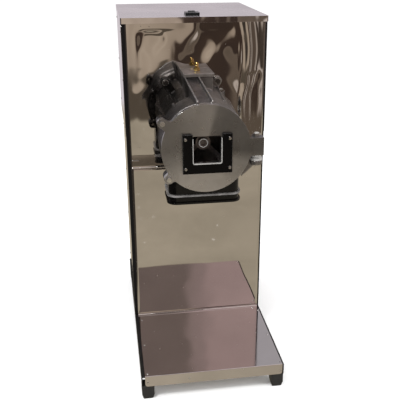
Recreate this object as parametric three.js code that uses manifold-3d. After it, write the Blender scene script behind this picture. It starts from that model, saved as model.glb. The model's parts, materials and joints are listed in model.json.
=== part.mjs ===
// Pulverizer mill: a sheet steel cabinet on an angle-iron frame, with a cast grinding chamber in front.
// Millimetres. X runs to the right, Y runs to the back, Z runs up, and the floor is Z = 0.
// While the pieces are drawn, Y = 0 is the front sheet's face; the group then moves to the footprint's centre.

import * as THREE from "three";
import { mergeVertices } from "three/addons/utils/BufferGeometryUtils.js";
import Module from "manifold-3d";

const wasm = await Module();
wasm.setup();

// Clearances, and how far a cutter runs past a face
const seat = 0.3;
const running = 0.1;
const clamping = 1.2;
const overrun = 2;

// Cabinet and its angle-iron frame
const machineHeight = 1023;
const frameWidth = 415;
const cabinetDepth = 425;
const sheetInset = 7.5;
const sheetShift = 2.5;
const sheetThickness = 1;
const angleLeg = 25;
const angleWall = 3;
const rearPostInset = 5;
const baseRailHeight = 33.4;

// Feet
const footHeight = 44;
const footWidth = 36;
const footTread = 29;
const footCorner = 5;

// Shelf
const shelfDepth = 341;
const fasciaHeight = 34;
const fasciaCorner = 8;
const shelfLip = 7;

// Front, side and rear sheets
const seamBelowMill = 143;
const hemHeight = 4;
const hemDepth = 2;
const slitHeight = 25.5;
const slitLength = 25;
const slitWidth = 2;
const sideCoverBelowMill = 43;
const sideCoverInset = 8;
const louvreWidth = 110;
const louvreSlot = 3.4;
const louvreHood = 5;
const louvrePitch = 34;
const louvreRows = 5;
const louvreBelowMill = 308;
const louvreColumn = 80;

// Lid and the power switch on it
const lidSideOverhang = 2.5;
const lidFrontOverhang = 6;
const lidRearOverhang = 7.5;
const lidSkirt = 16;
const lidCorner = 4;
const lidHingeLength = 300;
const lidHingeKnuckles = 5;
const lidHingeLeaf = 26;
const lidHingeThickness = 1.5;
const lidHingePinRadius = 1.5;
const lidHingeDrop = 0.5;
const switchWidth = 41;
const switchLength = 42;
const switchHeight = 6.5;
const switchFromFront = 44;
const switchShift = -1.5;
const switchCorner = 3;
const switchStemWidth = 29;
const switchStemLength = 37;
const switchStemDepth = 20;
const rockerWidth = 20;
const rockerLength = 28;
const rockerRise = 3.2;
const rockerDip = 1.6;
const rockerDepth = 5;
const rockerTilt = 8;
const rockerGap = 2;
const rockerPivotDrop = 2;
const rockerPinRadius = 1.5;
const rockerPinLength = 1.5;

// Grinding chamber
const millX = -13.5;
const millFromTop = 295;
const chamberReach = 281;
const ringRadius = 116;
const ringLength = 81;
const drumFrontRadius = 110;
const drumRearRadius = 121;
const chamberBore = 96;
const grindingDepth = 121;
const backWall = 12;
const rearCavityRadius = 99;
const hubRadius = 44;
const hubReach = 36;
const sealBore = 14;
const ribThickness = 7;
const ribRise = 6;
const crestHalfWidth = 22;
const crestRise = 26;
const crestRibRise = 7;
const crestRibThickness = 5;
const crestLean = 10;
const mountEarRadius = 139;
const mountEarWidth = 26;
const mountEarDepth = 15;
const mountBoltRadius = 5;
const chamberPlateThickness = 6;
const jacketWidth = 86;
const jacketDepth = 99;
const jacketThickness = 9;
const jacketShift = 10.1;
const jacketAboveMill = 154;
const jacketMargin = 4;
const nippleFromPanel = 50;

// Spout under the chamber
const spoutWidth = 190;
const spoutDepth = 108;
const spoutWall = 4;
const spoutCorner = 22;
const spoutBelowMill = 160;
const spoutFront = 266;
const spoutLip = 5;
const spoutLipHeight = 5;
const spoutGroove = 23;
const dischargeWidth = 156;

// Door, its hinge, clamp lugs and hopper bracket
const doorRadius = 116;
const doorThickness = 16;
const gasketThickness = 2.4;
const gasketInner = 98;
const gasketOuter = 108;
const feedWidth = 75;
const feedHeight = 72;
const feedDrop = 1.5;
const feedShift = 1.5;
const feedCorner = 5;
const bracketWidth = 128;
const bracketHeight = 104;
const bracketDrop = 11;
const bracketShift = 2;
const bracketBar = 26;
const bracketFlange = 13;
const bracketSlot = 5;
const bracketLip = 2;
const bracketScrewRadius = 4.5;
const bracketScrewHead = 3;
const bracketScrewInset = 7;
const lugWidth = 25;
const lugFlare = 9;
const lugFilletDepth = 14;
const upperLugAngle = 147.6;
const upperLugRadius = 132.5;
const lowerLugAngle = 218.2;
const lowerLugRadius = 124.5;
const clampEarDepth = 26;
const clampBoltRadius = 4;
const clampHeadWidth = 13;
const clampHeadHeight = 6;
const clampBoltReach = 22;
const hingeX = 121.5;
const hingeBehindDoor = 24;
const knuckleRadius = 15;
const knuckleBelowMill = 23;
const knuckleAboveMill = 24;
const hingePinRadius = 6;
const hingeEarBelowMill = 41;
const hingeEarThickness = 13;
const hingeEarNose = 16;
const hingeEarBack = 61;
const hingeGusset = 34;
const hingeCollarRadius = 10;
const hingeNutWidth = 19;
const hingeNutHeight = 6;

// Rotor, shaft and bearings
const shaftRadius = 12.5;
const shaftRear = 86;
const rotorHubRadius = 20;
const rotorFront = 236;
const rotorGap = 6;
const rotorReach = 90;
const bladeAngles = [45, 135, 225, 315];
const bladeThickness = 12;
const bladeTipThickness = 24;
const bladeTipLength = 18;
const bladeInset = 22;
const rotorScrewHead = 12;
const rotorScrewHeadHeight = 7;
const rotorScrewRadius = 5;
const rotorScrewLength = 26;
const rotorScrewSocket = 5;
const rotorScrewSocketDepth = 4;
const bearingRadius = 31;
const bearingWidth = 17;
const bearingRing = 5;
const bearingRecess = 1.2;
const sieveThickness = 2;
const sieveHoleRadius = 5;
const sieveHolesRound = 6;
const sieveHolesAlong = 3;
const sieveFromFront = 8;
const sieveSpan = 164;

// Belt drive
const millPulleyPitch = 40;
const motorPulleyPitch = 85;
const pulleyRim = 5;
const pulleyWidth = 24;
const pulleyFromSheet = 54;
const pulleyWeb = 8;
const pulleyHub = 24;
const pulleyRimWall = 18;
const beltHalfTop = 8;
const beltHalfBottom = 4.6;
const beltAbovePitch = 4;
const beltBelowPitch = 6;
const beltClearance = 0.35;
const grooveFloor = 9;

// Motor
const motorPlateThickness = 6;
const motorPlateFront = 125;
const motorPlateDepth = 230;
const motorSlotWidth = 11;
const motorSlotLength = 34;
const motorSlotInset = 16;
const motorAxisHeight = 90;
const motorShaftRadius = 12;
const motorShaftFront = 50;
const motorBodyFront = 130;
const motorBodyLength = 165;
const motorCoreRadius = 76;
const motorFinHeight = 8;
const motorFinCount = 24;
const motorFinShare = 0.4;
const motorCoreBore = 36;
const motorAirGap = 0.6;
const motorWinding = 22;
const shieldDepth = 20;
const shieldNoseRadius = 30;
const motorFootWidth = 168;
const motorFootLength = 42;
const motorFootThickness = 12;
const motorFootWeb = 100;
const fanCoverDepth = 44;
const fanCoverWall = 1.5;
const fanHubRadius = 20;
const fanReach = 62;
const fanBlades = 7;
const fanBladeThickness = 3;
const fanDepth = 18;
const fanSlots = 12;
const fanSlotInner = 30;
const fanSlotOuter = 60;
const fanSlotWidth = 7;
const terminalWidth = 74;
const terminalLength = 66;
const terminalHeight = 34;
const terminalCorner = 6;

// Brass hose nipple
const nippleHexWidth = 17;
const nippleHexHeight = 9;
const nippleNeckRadius = 5;
const nippleBarbRadius = 6.2;
const nippleHeight = 23;
const nippleBore = 1.8;
const nippleBarbShares = [0.45, 0.62, 0.64, 0.8, 0.82, 1];

// Facets per full turn; shafts and their bores take the snug number, so that they clear at every angle
const fine = 48;
const snug = 32;
const medium = 24;
const small = 16;

// Places worked out from the sizes above
const frameSide = frameWidth / 2;
const sheetLeft = sheetShift + sheetInset - frameSide;
const sheetRight = sheetShift - sheetInset + frameSide;
const millZ = machineHeight - millFromTop;
const seamHeight = millZ - seamBelowMill;
const sideCoverBottom = millZ - sideCoverBelowMill;
const louvreTop = millZ - louvreBelowMill;
const jacketTop = millZ + jacketAboveMill;
const spoutBottom = millZ - spoutBelowMill;
const knuckleBottom = millZ - knuckleBelowMill;
const knuckleTop = millZ + knuckleAboveMill;
const hingeEarTop = millZ - hingeEarBelowMill;
const frameFront = sheetThickness + seat;
const railTop = footHeight + seat + baseRailHeight;
const frameTop = machineHeight - sheetThickness - seat;
const shelfFront = -shelfDepth;
const shelfTop = railTop + seat + sheetThickness;
const sideSheetX = frameSide - rearPostInset + seat;
const lidRear = cabinetDepth + lidRearOverhang;
const lidHingeFront = cabinetDepth + seat + sheetThickness + seat;
const machineRear = lidRear + seat + lidHingeThickness;
const lidHingeRadius = (machineRear - lidHingeFront) / 2;
const lidHingeY = (machineRear + lidHingeFront) / 2;
const lidHingeZ = machineHeight - lidSkirt - lidHingeDrop - lidHingeRadius;
const halfHinge = lidHingeLength / 2;
const chamberFront = -chamberReach;
const doorBack = chamberFront - gasketThickness - 2 * seat;
const doorFace = doorBack - doorThickness;
const wallFront = chamberFront + grindingDepth;
const wallRear = wallFront + backWall;
const hingeY = doorFace + hingeBehindDoor;
const motorPlateTop = railTop + seat + motorPlateThickness;
const motorZ = motorPlateTop + seat + motorAxisHeight;
const switchY = switchFromFront - lidFrontOverhang + switchLength / 2;
const rockerPivotZ = machineHeight + seat + switchHeight - rockerPivotDrop;
const degree = Math.PI / 180;

// Finishes
const finish = (color, roughness, metalness) => new THREE.MeshStandardMaterial({ color, roughness, metalness });
const mirrorSteel = finish(0xb9b2a8, 0.12, 1);
const lidSteel = finish(0xc8c0c5, 0.35, 0.9);
const blackPaint = finish(0x0c0b0b, 0.4, 0);
const castAluminium = finish(0x6f6a66, 0.5, 0.9);
const turnedAluminium = finish(0x8f8a85, 0.35, 1);
const plainSteel = finish(0x9a9a9a, 0.4, 1);
const castIron = finish(0x3f4447, 0.7, 0.5);
const motorPaint = finish(0x4a5a66, 0.5, 0.1);
const brass = finish(0xb08a3c, 0.3, 1);
const rubber = finish(0x141414, 0.9, 0);
const blackPlastic = finish(0x101010, 0.35, 0);

const machine = new THREE.Group();

// A closed geometry as a solid; a revolved profile may run either way, so a solid that is inside out is turned.
function solid(geometry) {
  const bare = geometry.clone();
  bare.deleteAttribute("normal");
  bare.deleteAttribute("uv");
  const merged = mergeVertices(bare, 1e-4);
  const vertProperties = Float32Array.from(merged.attributes.position.array);
  const made = (triVerts) => new wasm.Manifold(new wasm.Mesh({ numProp: 3, vertProperties, triVerts }));
  const triVerts = Uint32Array.from(merged.index.array);
  const first = made(triVerts);
  return first.volume() > 0 ? first : made(triVerts.reverse());
}

function joined(...parts) {
  return parts.reduce((whole, part) => whole.add(part));
}

function cut(body, ...tools) {
  return tools.reduce((rest, tool) => rest.subtract(tool), body);
}

function addMesh(name, body, material) {
  const { vertProperties, triVerts } = body.getMesh();
  const geometry = new THREE.BufferGeometry();
  geometry.setAttribute("position", new THREE.BufferAttribute(Float32Array.from(vertProperties), 3));
  geometry.setIndex(new THREE.BufferAttribute(Uint32Array.from(triVerts), 1));
  geometry.computeVertexNormals();
  const mesh = new THREE.Mesh(geometry, material);
  mesh.name = name;
  machine.add(mesh);
  return mesh;
}

function box(x0, x1, y0, y1, z0, z1) {
  const geometry = new THREE.BoxGeometry(x1 - x0, y1 - y0, z1 - z0);
  return solid(geometry.translate((x0 + x1) / 2, (y0 + y1) / 2, (z0 + z1) / 2));
}

function extruded(shape, depth, facets) {
  return new THREE.ExtrudeGeometry(shape, { depth, bevelEnabled: false, curveSegments: facets });
}

// An outline drawn in X and Y that stands from z0 to z1
function standing(shape, z0, z1, facets = 6) {
  return solid(extruded(shape, z1 - z0, facets).translate(0, 0, z0));
}

// An outline drawn in X and Z that runs back from y0 to y1
function runningBack(shape, y0, y1, facets = 6) {
  return solid(extruded(shape, y1 - y0, facets).rotateX(90 * degree).translate(0, y1, 0));
}

// An outline drawn in Y and Z that runs across from x0 to x1
function runningAcross(shape, x0, x1, facets = 6) {
  const axes = new THREE.Matrix4().makeBasis(
    new THREE.Vector3(0, 1, 0),
    new THREE.Vector3(0, 0, 1),
    new THREE.Vector3(1, 0, 0),
  );
  return solid(extruded(shape, x1 - x0, facets).applyMatrix4(axes).translate(x0, 0, 0));
}

function polygon(points) {
  return new THREE.Shape(points.map(([u, v]) => new THREE.Vector2(u, v)));
}

function roundedRectangle(u0, u1, v0, v1, corner) {
  const shape = new THREE.Shape();
  shape.moveTo(u0 + corner, v0);
  shape.lineTo(u1 - corner, v0);
  shape.absarc(u1 - corner, v0 + corner, corner, -90 * degree, 0);
  shape.absarc(u1 - corner, v1 - corner, corner, 0, 90 * degree);
  shape.absarc(u0 + corner, v1 - corner, corner, 90 * degree, 180 * degree);
  shape.absarc(u0 + corner, v0 + corner, corner, 180 * degree, 270 * degree);
  return shape;
}

// An angle section with its outer corner at u, v and its legs along the two directions
function angleSection(u, v, alongU, alongV, legU, legV) {
  return polygon([
    [u, v],
    [u + alongU * legU, v],
    [u + alongU * legU, v + alongV * angleWall],
    [u + alongU * angleWall, v + alongV * angleWall],
    [u + alongU * angleWall, v + alongV * legV],
    [u, v + alongV * legV],
  ]);
}

// A profile of radius and Y, turned about an axis that runs along Y
function turned(profile, x, z, facets) {
  const points = profile.map(([radius, y]) => new THREE.Vector2(radius, y));
  return solid(new THREE.LatheGeometry(points, facets).translate(x, 0, z));
}

// A profile of radius and Z, turned about an upright axis
function turnedUpright(profile, x, y, facets) {
  const points = profile.map(([radius, z]) => new THREE.Vector2(radius, -z));
  return solid(new THREE.LatheGeometry(points, facets).rotateX(-90 * degree).translate(x, y, 0));
}

function rod(radius, x, z, y0, y1, facets) {
  return turned([[0, y0], [radius, y0], [radius, y1], [0, y1]], x, z, facets);
}

function uprightRod(radius, x, y, z0, z1, facets) {
  return turnedUpright([[0, z0], [radius, z0], [radius, z1], [0, z1]], x, y, facets);
}

function acrossRod(radius, y, z, x0, x1) {
  const rounded = new THREE.CylinderGeometry(radius, radius, x1 - x0, small).rotateZ(90 * degree);
  return solid(rounded.translate((x0 + x1) / 2, y, z));
}

function tube(inner, outer, x, z, y0, y1, facets) {
  return turned([[inner, y0], [outer, y0], [outer, y1], [inner, y1], [inner, y0]], x, z, facets);
}

// A hexagon of a given width across its flats
function hexagon(width, u, v) {
  const reach = width / Math.sqrt(3);
  const corners = [0, 60, 120, 180, 240, 300];
  return polygon(corners.map((a) => [u + reach * Math.cos(a * degree), v + reach * Math.sin(a * degree)]));
}

// A round-ended lug in X and Z that points away from the mill's axis
function lugOutline(angle, from, to, width) {
  const shape = new THREE.Shape();
  const direction = angle * degree;
  const place = (along, across) => [
    millX + along * Math.cos(direction) - across * Math.sin(direction),
    millZ + along * Math.sin(direction) + across * Math.cos(direction),
  ];
  shape.moveTo(...place(from, width / 2));
  shape.lineTo(...place(from, -width / 2));
  shape.lineTo(...place(to, -width / 2));
  shape.absarc(...place(to, 0), width / 2, direction - 90 * degree, direction + 90 * degree);
  return shape;
}

// The fillets that lead from the door's round edge into a lug, on both sides
function lugFillets(angle, grow) {
  const shape = new THREE.Shape();
  const direction = angle * degree;
  const narrow = lugWidth / 2 + grow;
  const spread = narrow + lugFlare;
  const root = Math.sqrt(doorRadius ** 2 - spread ** 2) - seat;
  const tip = root + lugFlare + grow;
  const place = (along, across) => [
    millX + along * Math.cos(direction) - across * Math.sin(direction),
    millZ + along * Math.sin(direction) + across * Math.cos(direction),
  ];
  shape.moveTo(...place(gasketOuter, spread));
  shape.lineTo(...place(gasketOuter, -spread));
  shape.lineTo(...place(root, -spread));
  shape.quadraticCurveTo(...place(root, -narrow), ...place(tip, -narrow));
  shape.lineTo(...place(tip, narrow));
  shape.quadraticCurveTo(...place(root, narrow), ...place(root, spread));
  return shape;
}

function polarPlace(angle, radius) {
  return [millX + radius * Math.cos(angle * degree), millZ + radius * Math.sin(angle * degree)];
}

function buildFrame() {
  for (const [side, word] of [[-1, "left"], [1, "right"]]) {
    const frontCorner = angleSection(side * frameSide, frameFront, -side, 1, angleLeg, angleLeg);
    addMesh("post_front_" + word, standing(frontCorner, railTop + seat, frameTop), blackPaint);
    const rearX = side * (frameSide - rearPostInset);
    const rearCorner = angleSection(rearX, cabinetDepth, -side, -1, angleLeg, angleLeg);
    addMesh("post_rear_" + word, standing(rearCorner, railTop + seat, frameTop), blackPaint);
    const topCorner = angleSection(side * frameSide, frameTop, -side, -1, angleLeg, angleLeg);
    const topRail = runningBack(topCorner, frameFront + angleLeg + seat, cabinetDepth - angleLeg - seat);
    addMesh("top_rail_" + word, topRail, blackPaint);
    const baseCorner = angleSection(side * frameSide, railTop, -side, -1, angleLeg, baseRailHeight);
    addMesh("base_rail_" + word, runningBack(baseCorner, shelfFront + frameFront, cabinetDepth), blackPaint);
  }
  buildCrossRails();
}

function buildCrossRails() {
  const frontSpan = frameSide - angleLeg - seat;
  const rearSpan = frontSpan - rearPostInset;
  const rails = [
    ["top_rail_front", frameFront, 1, frameTop, frontSpan, angleLeg],
    ["top_rail_rear", cabinetDepth, -1, frameTop, rearSpan, angleLeg],
    ["base_rail_front", shelfFront + frameFront, 1, railTop, frontSpan, baseRailHeight],
    ["base_rail_middle", frameFront, 1, railTop, frontSpan, baseRailHeight],
    ["base_rail_rear", cabinetDepth, -1, railTop, frontSpan, baseRailHeight],
  ];
  for (const [name, y, along, z, span, height] of rails) {
    const corner = angleSection(y, z, along, -1, angleLeg, height);
    addMesh(name, runningAcross(corner, -span, span), blackPaint);
  }
}

// A square rubber cap whose lower third narrows to the tread
function footSolid(x, y) {
  const half = footWidth / 2;
  const outline = roundedRectangle(-half, half, -half, half, footCorner);
  const options = { depth: footHeight, steps: 3, bevelEnabled: false, curveSegments: 2 };
  const geometry = new THREE.ExtrudeGeometry(outline, options);
  const place = geometry.attributes.position;
  for (let i = 0; i < place.count; i++) {
    const share = place.getZ(i) < footHeight / 6 ? footTread / footWidth : 1;
    place.setXY(i, place.getX(i) * share, place.getY(i) * share);
  }
  return solid(geometry.translate(x, y, 0));
}

function buildFeet() {
  const x = frameSide - footWidth / 2;
  const frontY = shelfFront + frameFront + footWidth / 2;
  const rearY = cabinetDepth - footWidth / 2;
  addMesh("foot_front_left", footSolid(-x, frontY), rubber);
  addMesh("foot_front_right", footSolid(x, frontY), rubber);
  addMesh("foot_rear_left", footSolid(-x, rearY), rubber);
  addMesh("foot_rear_right", footSolid(x, rearY), rubber);
}

// The shelf's sheet is turned up against the front sheet and turned down as a fascia with round lower corners.
function buildShelf() {
  const top = box(sheetLeft, sheetRight, shelfFront, -seat, shelfTop - sheetThickness, shelfTop);
  const lip = box(sheetLeft, sheetRight, -seat - sheetThickness, -seat, shelfTop - sheetThickness, shelfTop + shelfLip);
  const fasciaTop = shelfTop + fasciaCorner;
  const outline = roundedRectangle(sheetLeft, sheetRight, shelfTop - fasciaHeight, fasciaTop, fasciaCorner);
  const above = box(
    sheetLeft - overrun,
    sheetRight + overrun,
    shelfFront - overrun,
    shelfFront + sheetThickness + overrun,
    shelfTop,
    fasciaTop + overrun,
  );
  const fascia = cut(runningBack(outline, shelfFront, shelfFront + sheetThickness), above);
  addMesh("shelf_tray", joined(top, lip, fascia), mirrorSteel);
}

// A round hole in an outline, with the same corners as a rod of as many facets
function roundHole([u, v], radius, facets) {
  const corners = [];
  for (let i = 0; i < facets; i++) {
    const turn = (360 * degree * i) / facets;
    corners.push(new THREE.Vector2(u + radius * Math.cos(turn), v - radius * Math.sin(turn)));
  }
  return new THREE.Path(corners);
}

const mountAngles = [57, 123, 237, 303];

function mountHoles() {
  return mountAngles.map((angle) => {
    return roundHole(polarPlace(angle, mountEarRadius), mountBoltRadius + seat, small);
  });
}

function buildFrontSheets() {
  const lower = box(sheetLeft, sheetRight, 0, sheetThickness, railTop + seat, seamHeight - seat);
  addMesh("front_lower_panel", lower, mirrorSteel);
  const slitBottom = seamHeight + slitHeight;
  const outline = polygon([
    [sheetLeft, seamHeight],
    [sheetRight, seamHeight],
    [sheetRight, frameTop],
    [sheetLeft, frameTop],
    [sheetLeft, slitBottom + slitWidth],
    [sheetLeft + slitLength, slitBottom + slitWidth],
    [sheetLeft + slitLength, slitBottom],
    [sheetLeft, slitBottom],
  ]);
  outline.holes.push(roundHole([millX, millZ], hubRadius + overrun, medium));
  outline.holes.push(...mountHoles());
  const sheet = runningBack(outline, 0, sheetThickness);
  const hem = box(sheetLeft, sheetRight, -hemDepth, sheetThickness, seamHeight, seamHeight + hemHeight);
  addMesh("front_upper_panel", joined(sheet, hem), mirrorSteel);
}

function buildSideSheets() {
  for (const [side, word] of [[-1, "left"], [1, "right"]]) {
    const reach = [sideSheetX, sideSheetX + sheetThickness].map((x) => side * x).sort((a, b) => a - b);
    const sheetTop = frameTop - angleWall - seat;
    const sheet = box(...reach, frameFront + angleWall + seat, cabinetDepth, railTop + seat, sheetTop);
    addMesh(word + "_side_panel", sheet, mirrorSteel);
    const cover = [frameSide + seat, frameSide + seat + sheetThickness].map((x) => side * x).sort((a, b) => a - b);
    const coverTop = machineHeight - lidSkirt - seat;
    const coverRear = cabinetDepth - sideCoverInset;
    addMesh(word + "_upper_cover", box(...cover, frameFront, coverRear, sideCoverBottom, coverTop), mirrorSteel);
  }
}

// A row of slots, each under a pressed hood that opens downwards
function buildRearPanel() {
  const face = cabinetDepth + seat;
  const half = frameSide - rearPostInset;
  const topEdge = machineHeight - lidSkirt - seat;
  let panel = box(-half, half, face, face + sheetThickness, railTop + seat, topEdge);
  for (const side of [-1, 1]) {
    for (let row = 0; row < louvreRows; row++) {
      const z = louvreTop - row * louvrePitch;
      const x0 = side * louvreColumn - louvreWidth / 2;
      const x1 = x0 + louvreWidth;
      const hood = polygon([
        [face + sheetThickness / 2, z + louvreSlot],
        [face + sheetThickness + louvreHood, z],
        [face + sheetThickness + louvreHood - sheetThickness, z],
        [face + sheetThickness / 2, z + louvreSlot - sheetThickness],
      ]);
      const slot = box(x0, x1, face - overrun, face + sheetThickness + overrun, z - louvreSlot, z);
      panel = cut(panel.add(runningAcross(hood, x0, x1)), slot);
    }
  }
  addMesh("rear_panel", panel, mirrorSteel);
}

function buildLid() {
  const side = frameSide + lidSideOverhang;
  const outer = roundedRectangle(-side, side, -lidFrontOverhang, lidRear, lidCorner);
  const inner = roundedRectangle(
    -side + sheetThickness,
    side - sheetThickness,
    -lidFrontOverhang + sheetThickness,
    lidRear - sheetThickness,
    lidCorner - sheetThickness,
  );
  const hollow = standing(inner, machineHeight - lidSkirt - overrun, machineHeight - sheetThickness, 4);
  const window = aboutSwitch(
    switchStemWidth / 2 + seat,
    switchStemLength / 2 + seat,
    machineHeight - overrun,
    machineHeight + overrun,
  );
  addMesh("top_lid", cut(standing(outer, machineHeight - lidSkirt, machineHeight, 4), hollow, window), lidSteel);
}

// A long hinge behind the lid: one leaf on the rear panel with the pin, and one on the lid's skirt
function buildLidHinge() {
  const [upper, lower] = [[], [acrossRod(lidHingePinRadius, lidHingeY, lidHingeZ, -halfHinge, halfHinge)]];
  const front = lidHingeY - lidHingeRadius;
  const rear = lidHingeY + lidHingeRadius;
  const clear = lidHingeRadius + seat;
  const lowerPlate = (x0, x1, z0, z1) => box(x0, x1, front, front + lidHingeThickness, z0, z1);
  const upperPlate = (x0, x1, z0, z1) => box(x0, x1, rear - lidHingeThickness, rear, z0, z1);
  lower.push(lowerPlate(-halfHinge, halfHinge, lidHingeZ - lidHingeLeaf, lidHingeZ - clear));
  upper.push(upperPlate(-halfHinge, halfHinge, lidHingeZ + clear, machineHeight - lidHingeThickness));
  const pitch = lidHingeLength / lidHingeKnuckles;
  const bore = acrossRod(lidHingePinRadius + running, lidHingeY, lidHingeZ, -lidHingeLength, lidHingeLength);
  for (let i = 0; i < lidHingeKnuckles; i++) {
    const x0 = -halfHinge + i * pitch + (i > 0 ? seat / 2 : 0);
    const x1 = -halfHinge + (i + 1) * pitch - (i < lidHingeKnuckles - 1 ? seat / 2 : 0);
    const barrel = acrossRod(lidHingeRadius, lidHingeY, lidHingeZ, x0, x1);
    if (i % 2) {
      upper.push(barrel.add(upperPlate(x0, x1, lidHingeZ, lidHingeZ + clear + seat)).subtract(bore));
    } else {
      lower.push(barrel, lowerPlate(x0, x1, lidHingeZ - clear - seat, lidHingeZ));
    }
  }
  addMesh("lid_hinge_lower_leaf", joined(...lower), plainSteel);
  addMesh("lid_hinge_upper_leaf", joined(...upper), plainSteel);
}

// A box about the switch's own middle, in X and Y
function aboutSwitch(halfX, halfY, z0, z1) {
  return box(switchShift - halfX, switchShift + halfX, switchY - halfY, switchY + halfY, z0, z1);
}

function buildSwitch() {
  const base = machineHeight + seat;
  const top = base + switchHeight;
  const halfWidth = switchWidth / 2;
  const halfLength = switchLength / 2;
  const rim = roundedRectangle(
    switchShift - halfWidth,
    switchShift + halfWidth,
    switchY - halfLength,
    switchY + halfLength,
    switchCorner,
  );
  const stem = aboutSwitch(switchStemWidth / 2, switchStemLength / 2, base - switchStemDepth, base + overrun);
  const pocketX = rockerWidth / 2 + seat;
  const pocketFloor = rockerPivotZ - rockerDepth - rockerGap;
  const pocket = aboutSwitch(pocketX, rockerLength / 2 + rockerGap, pocketFloor, top + overrun);
  const pinReach = pocketX + rockerPinLength;
  const pinHole = acrossRod(rockerPinRadius + running, switchY, rockerPivotZ, -pinReach, pinReach);
  const housing = cut(standing(rim, base, top, 3).add(stem), pocket, pinHole.translate(switchShift, 0, 0));
  addMesh("switch_housing", housing, blackPlastic);
  buildRocker(pinReach - seat);
}

// A shallow V on top, a round belly below, and a pin at each side
function buildRocker(pinReach) {
  const half = rockerLength / 2;
  const bellyShare = 0.8;
  const outline = new THREE.Shape();
  outline.moveTo(-half, rockerRise);
  outline.lineTo(-half * bellyShare, -rockerDepth / 2);
  outline.quadraticCurveTo(0, -rockerDepth * 1.5, half * bellyShare, -rockerDepth / 2);
  outline.lineTo(half, rockerRise);
  outline.lineTo(0, rockerDip);
  const body = runningAcross(outline, -rockerWidth / 2, rockerWidth / 2, 8);
  const pin = acrossRod(rockerPinRadius, 0, 0, -pinReach, pinReach);
  const rocker = addMesh("switch_rocker", body.add(pin), blackPlastic);
  rocker.position.set(switchShift, switchY, rockerPivotZ);
  rocker.rotation.x = rockerTilt * degree;
}

// The chamber's outer form: a straight ring behind the door, then a drum that widens to the panel
function drumProfile(offset) {
  const ringRear = chamberFront + ringLength;
  const step = ringRadius - drumFrontRadius;
  return [
    [0, chamberFront],
    [ringRadius + offset, chamberFront],
    [ringRadius + offset, ringRear],
    [drumFrontRadius + offset, ringRear + step],
    [drumRearRadius + offset, -seat],
    [0, -seat],
  ];
}

// The crest is the band between two ribs that climbs from the front ring to the jacket plate and leans left.
function crestSolids() {
  const front = millZ + Math.sqrt(ringRadius ** 2 - crestHalfWidth ** 2);
  const rear = -jacketDepth - seat;
  const band = (rise) => polygon([
    [chamberFront, millZ + chamberBore],
    [chamberFront, front + rise],
    [rear, front + crestRise + rise],
    [rear, millZ + chamberBore],
  ]);
  const inner = crestHalfWidth - crestRibThickness;
  const solids = [runningAcross(band(0), millX - inner - overrun, millX + inner + overrun)];
  for (const x of [millX - crestHalfWidth, millX + inner]) {
    solids.push(runningAcross(band(crestRibRise), x, x + crestRibThickness));
  }
  const lean = crestLean / (rear - chamberFront);
  return solids.map((straight) => straight.warp((place) => {
    place[0] -= lean * (place[1] - chamberFront);
  }));
}

const ribAngles = [25, 52, 128, 155, 205, 335];

function drumRibs() {
  const from = rearCavityRadius + ribRise;
  const half = ribThickness / 2;
  const ringRear = chamberFront + ringLength;
  return ribAngles.map((angle) => {
    const profile = polygon([
      [from, ringRear - overrun],
      [ringRadius, ringRear - overrun],
      [drumRearRadius + ribRise, -seat],
      [from, -seat],
    ]);
    const geometry = extruded(profile, ribThickness, 1).translate(0, 0, -half);
    const upright = new THREE.Matrix4().makeRotationY(-angle * degree);
    return solid(geometry.applyMatrix4(upright).translate(millX, 0, millZ));
  });
}

function mountEars() {
  return mountAngles.map((angle) => {
    const outline = lugOutline(angle, rearCavityRadius + ribRise, mountEarRadius, mountEarWidth);
    outline.holes.push(roundHole(polarPlace(angle, mountEarRadius), mountBoltRadius + seat, small));
    return runningBack(outline, -mountEarDepth, -seat, 8);
  });
}

const clamps = [
  ["upper", upperLugAngle, upperLugRadius],
  ["lower", lowerLugAngle, lowerLugRadius],
];

function clampEar([, angle, radius]) {
  const rear = chamberFront + clampEarDepth;
  const lug = runningBack(lugOutline(angle, chamberBore + ribRise, radius, lugWidth), chamberFront, rear, 8);
  const fillets = runningBack(lugFillets(angle, 0), chamberFront, chamberFront + lugFilletDepth, 5);
  const [x, z] = polarPlace(angle, radius);
  const hole = rod(clampBoltRadius + clamping, x, z, chamberFront - overrun, rear + overrun, small);
  return cut(lug.add(fillets), hole);
}

// The round-nosed ear that carries the hinge pin, with its gusset below
function hingeEar() {
  const back = hingeY + hingeEarBack;
  const bottom = hingeEarTop - hingeEarThickness;
  const root = millX + chamberBore;
  const outline = new THREE.Shape();
  outline.moveTo(root, chamberFront + seat);
  outline.lineTo(hingeX - hingeEarNose, hingeY);
  outline.absarc(hingeX, hingeY, hingeEarNose, 180 * degree, 360 * degree);
  outline.lineTo(root, back);
  const gusset = polygon([
    [root, bottom + overrun],
    [hingeX, bottom + overrun],
    [root, bottom - hingeGusset],
  ]);
  const gussetRear = hingeY + ribThickness;
  return joined(standing(outline, bottom, hingeEarTop, 8), runningBack(gusset, hingeY, gussetRear));
}

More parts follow.
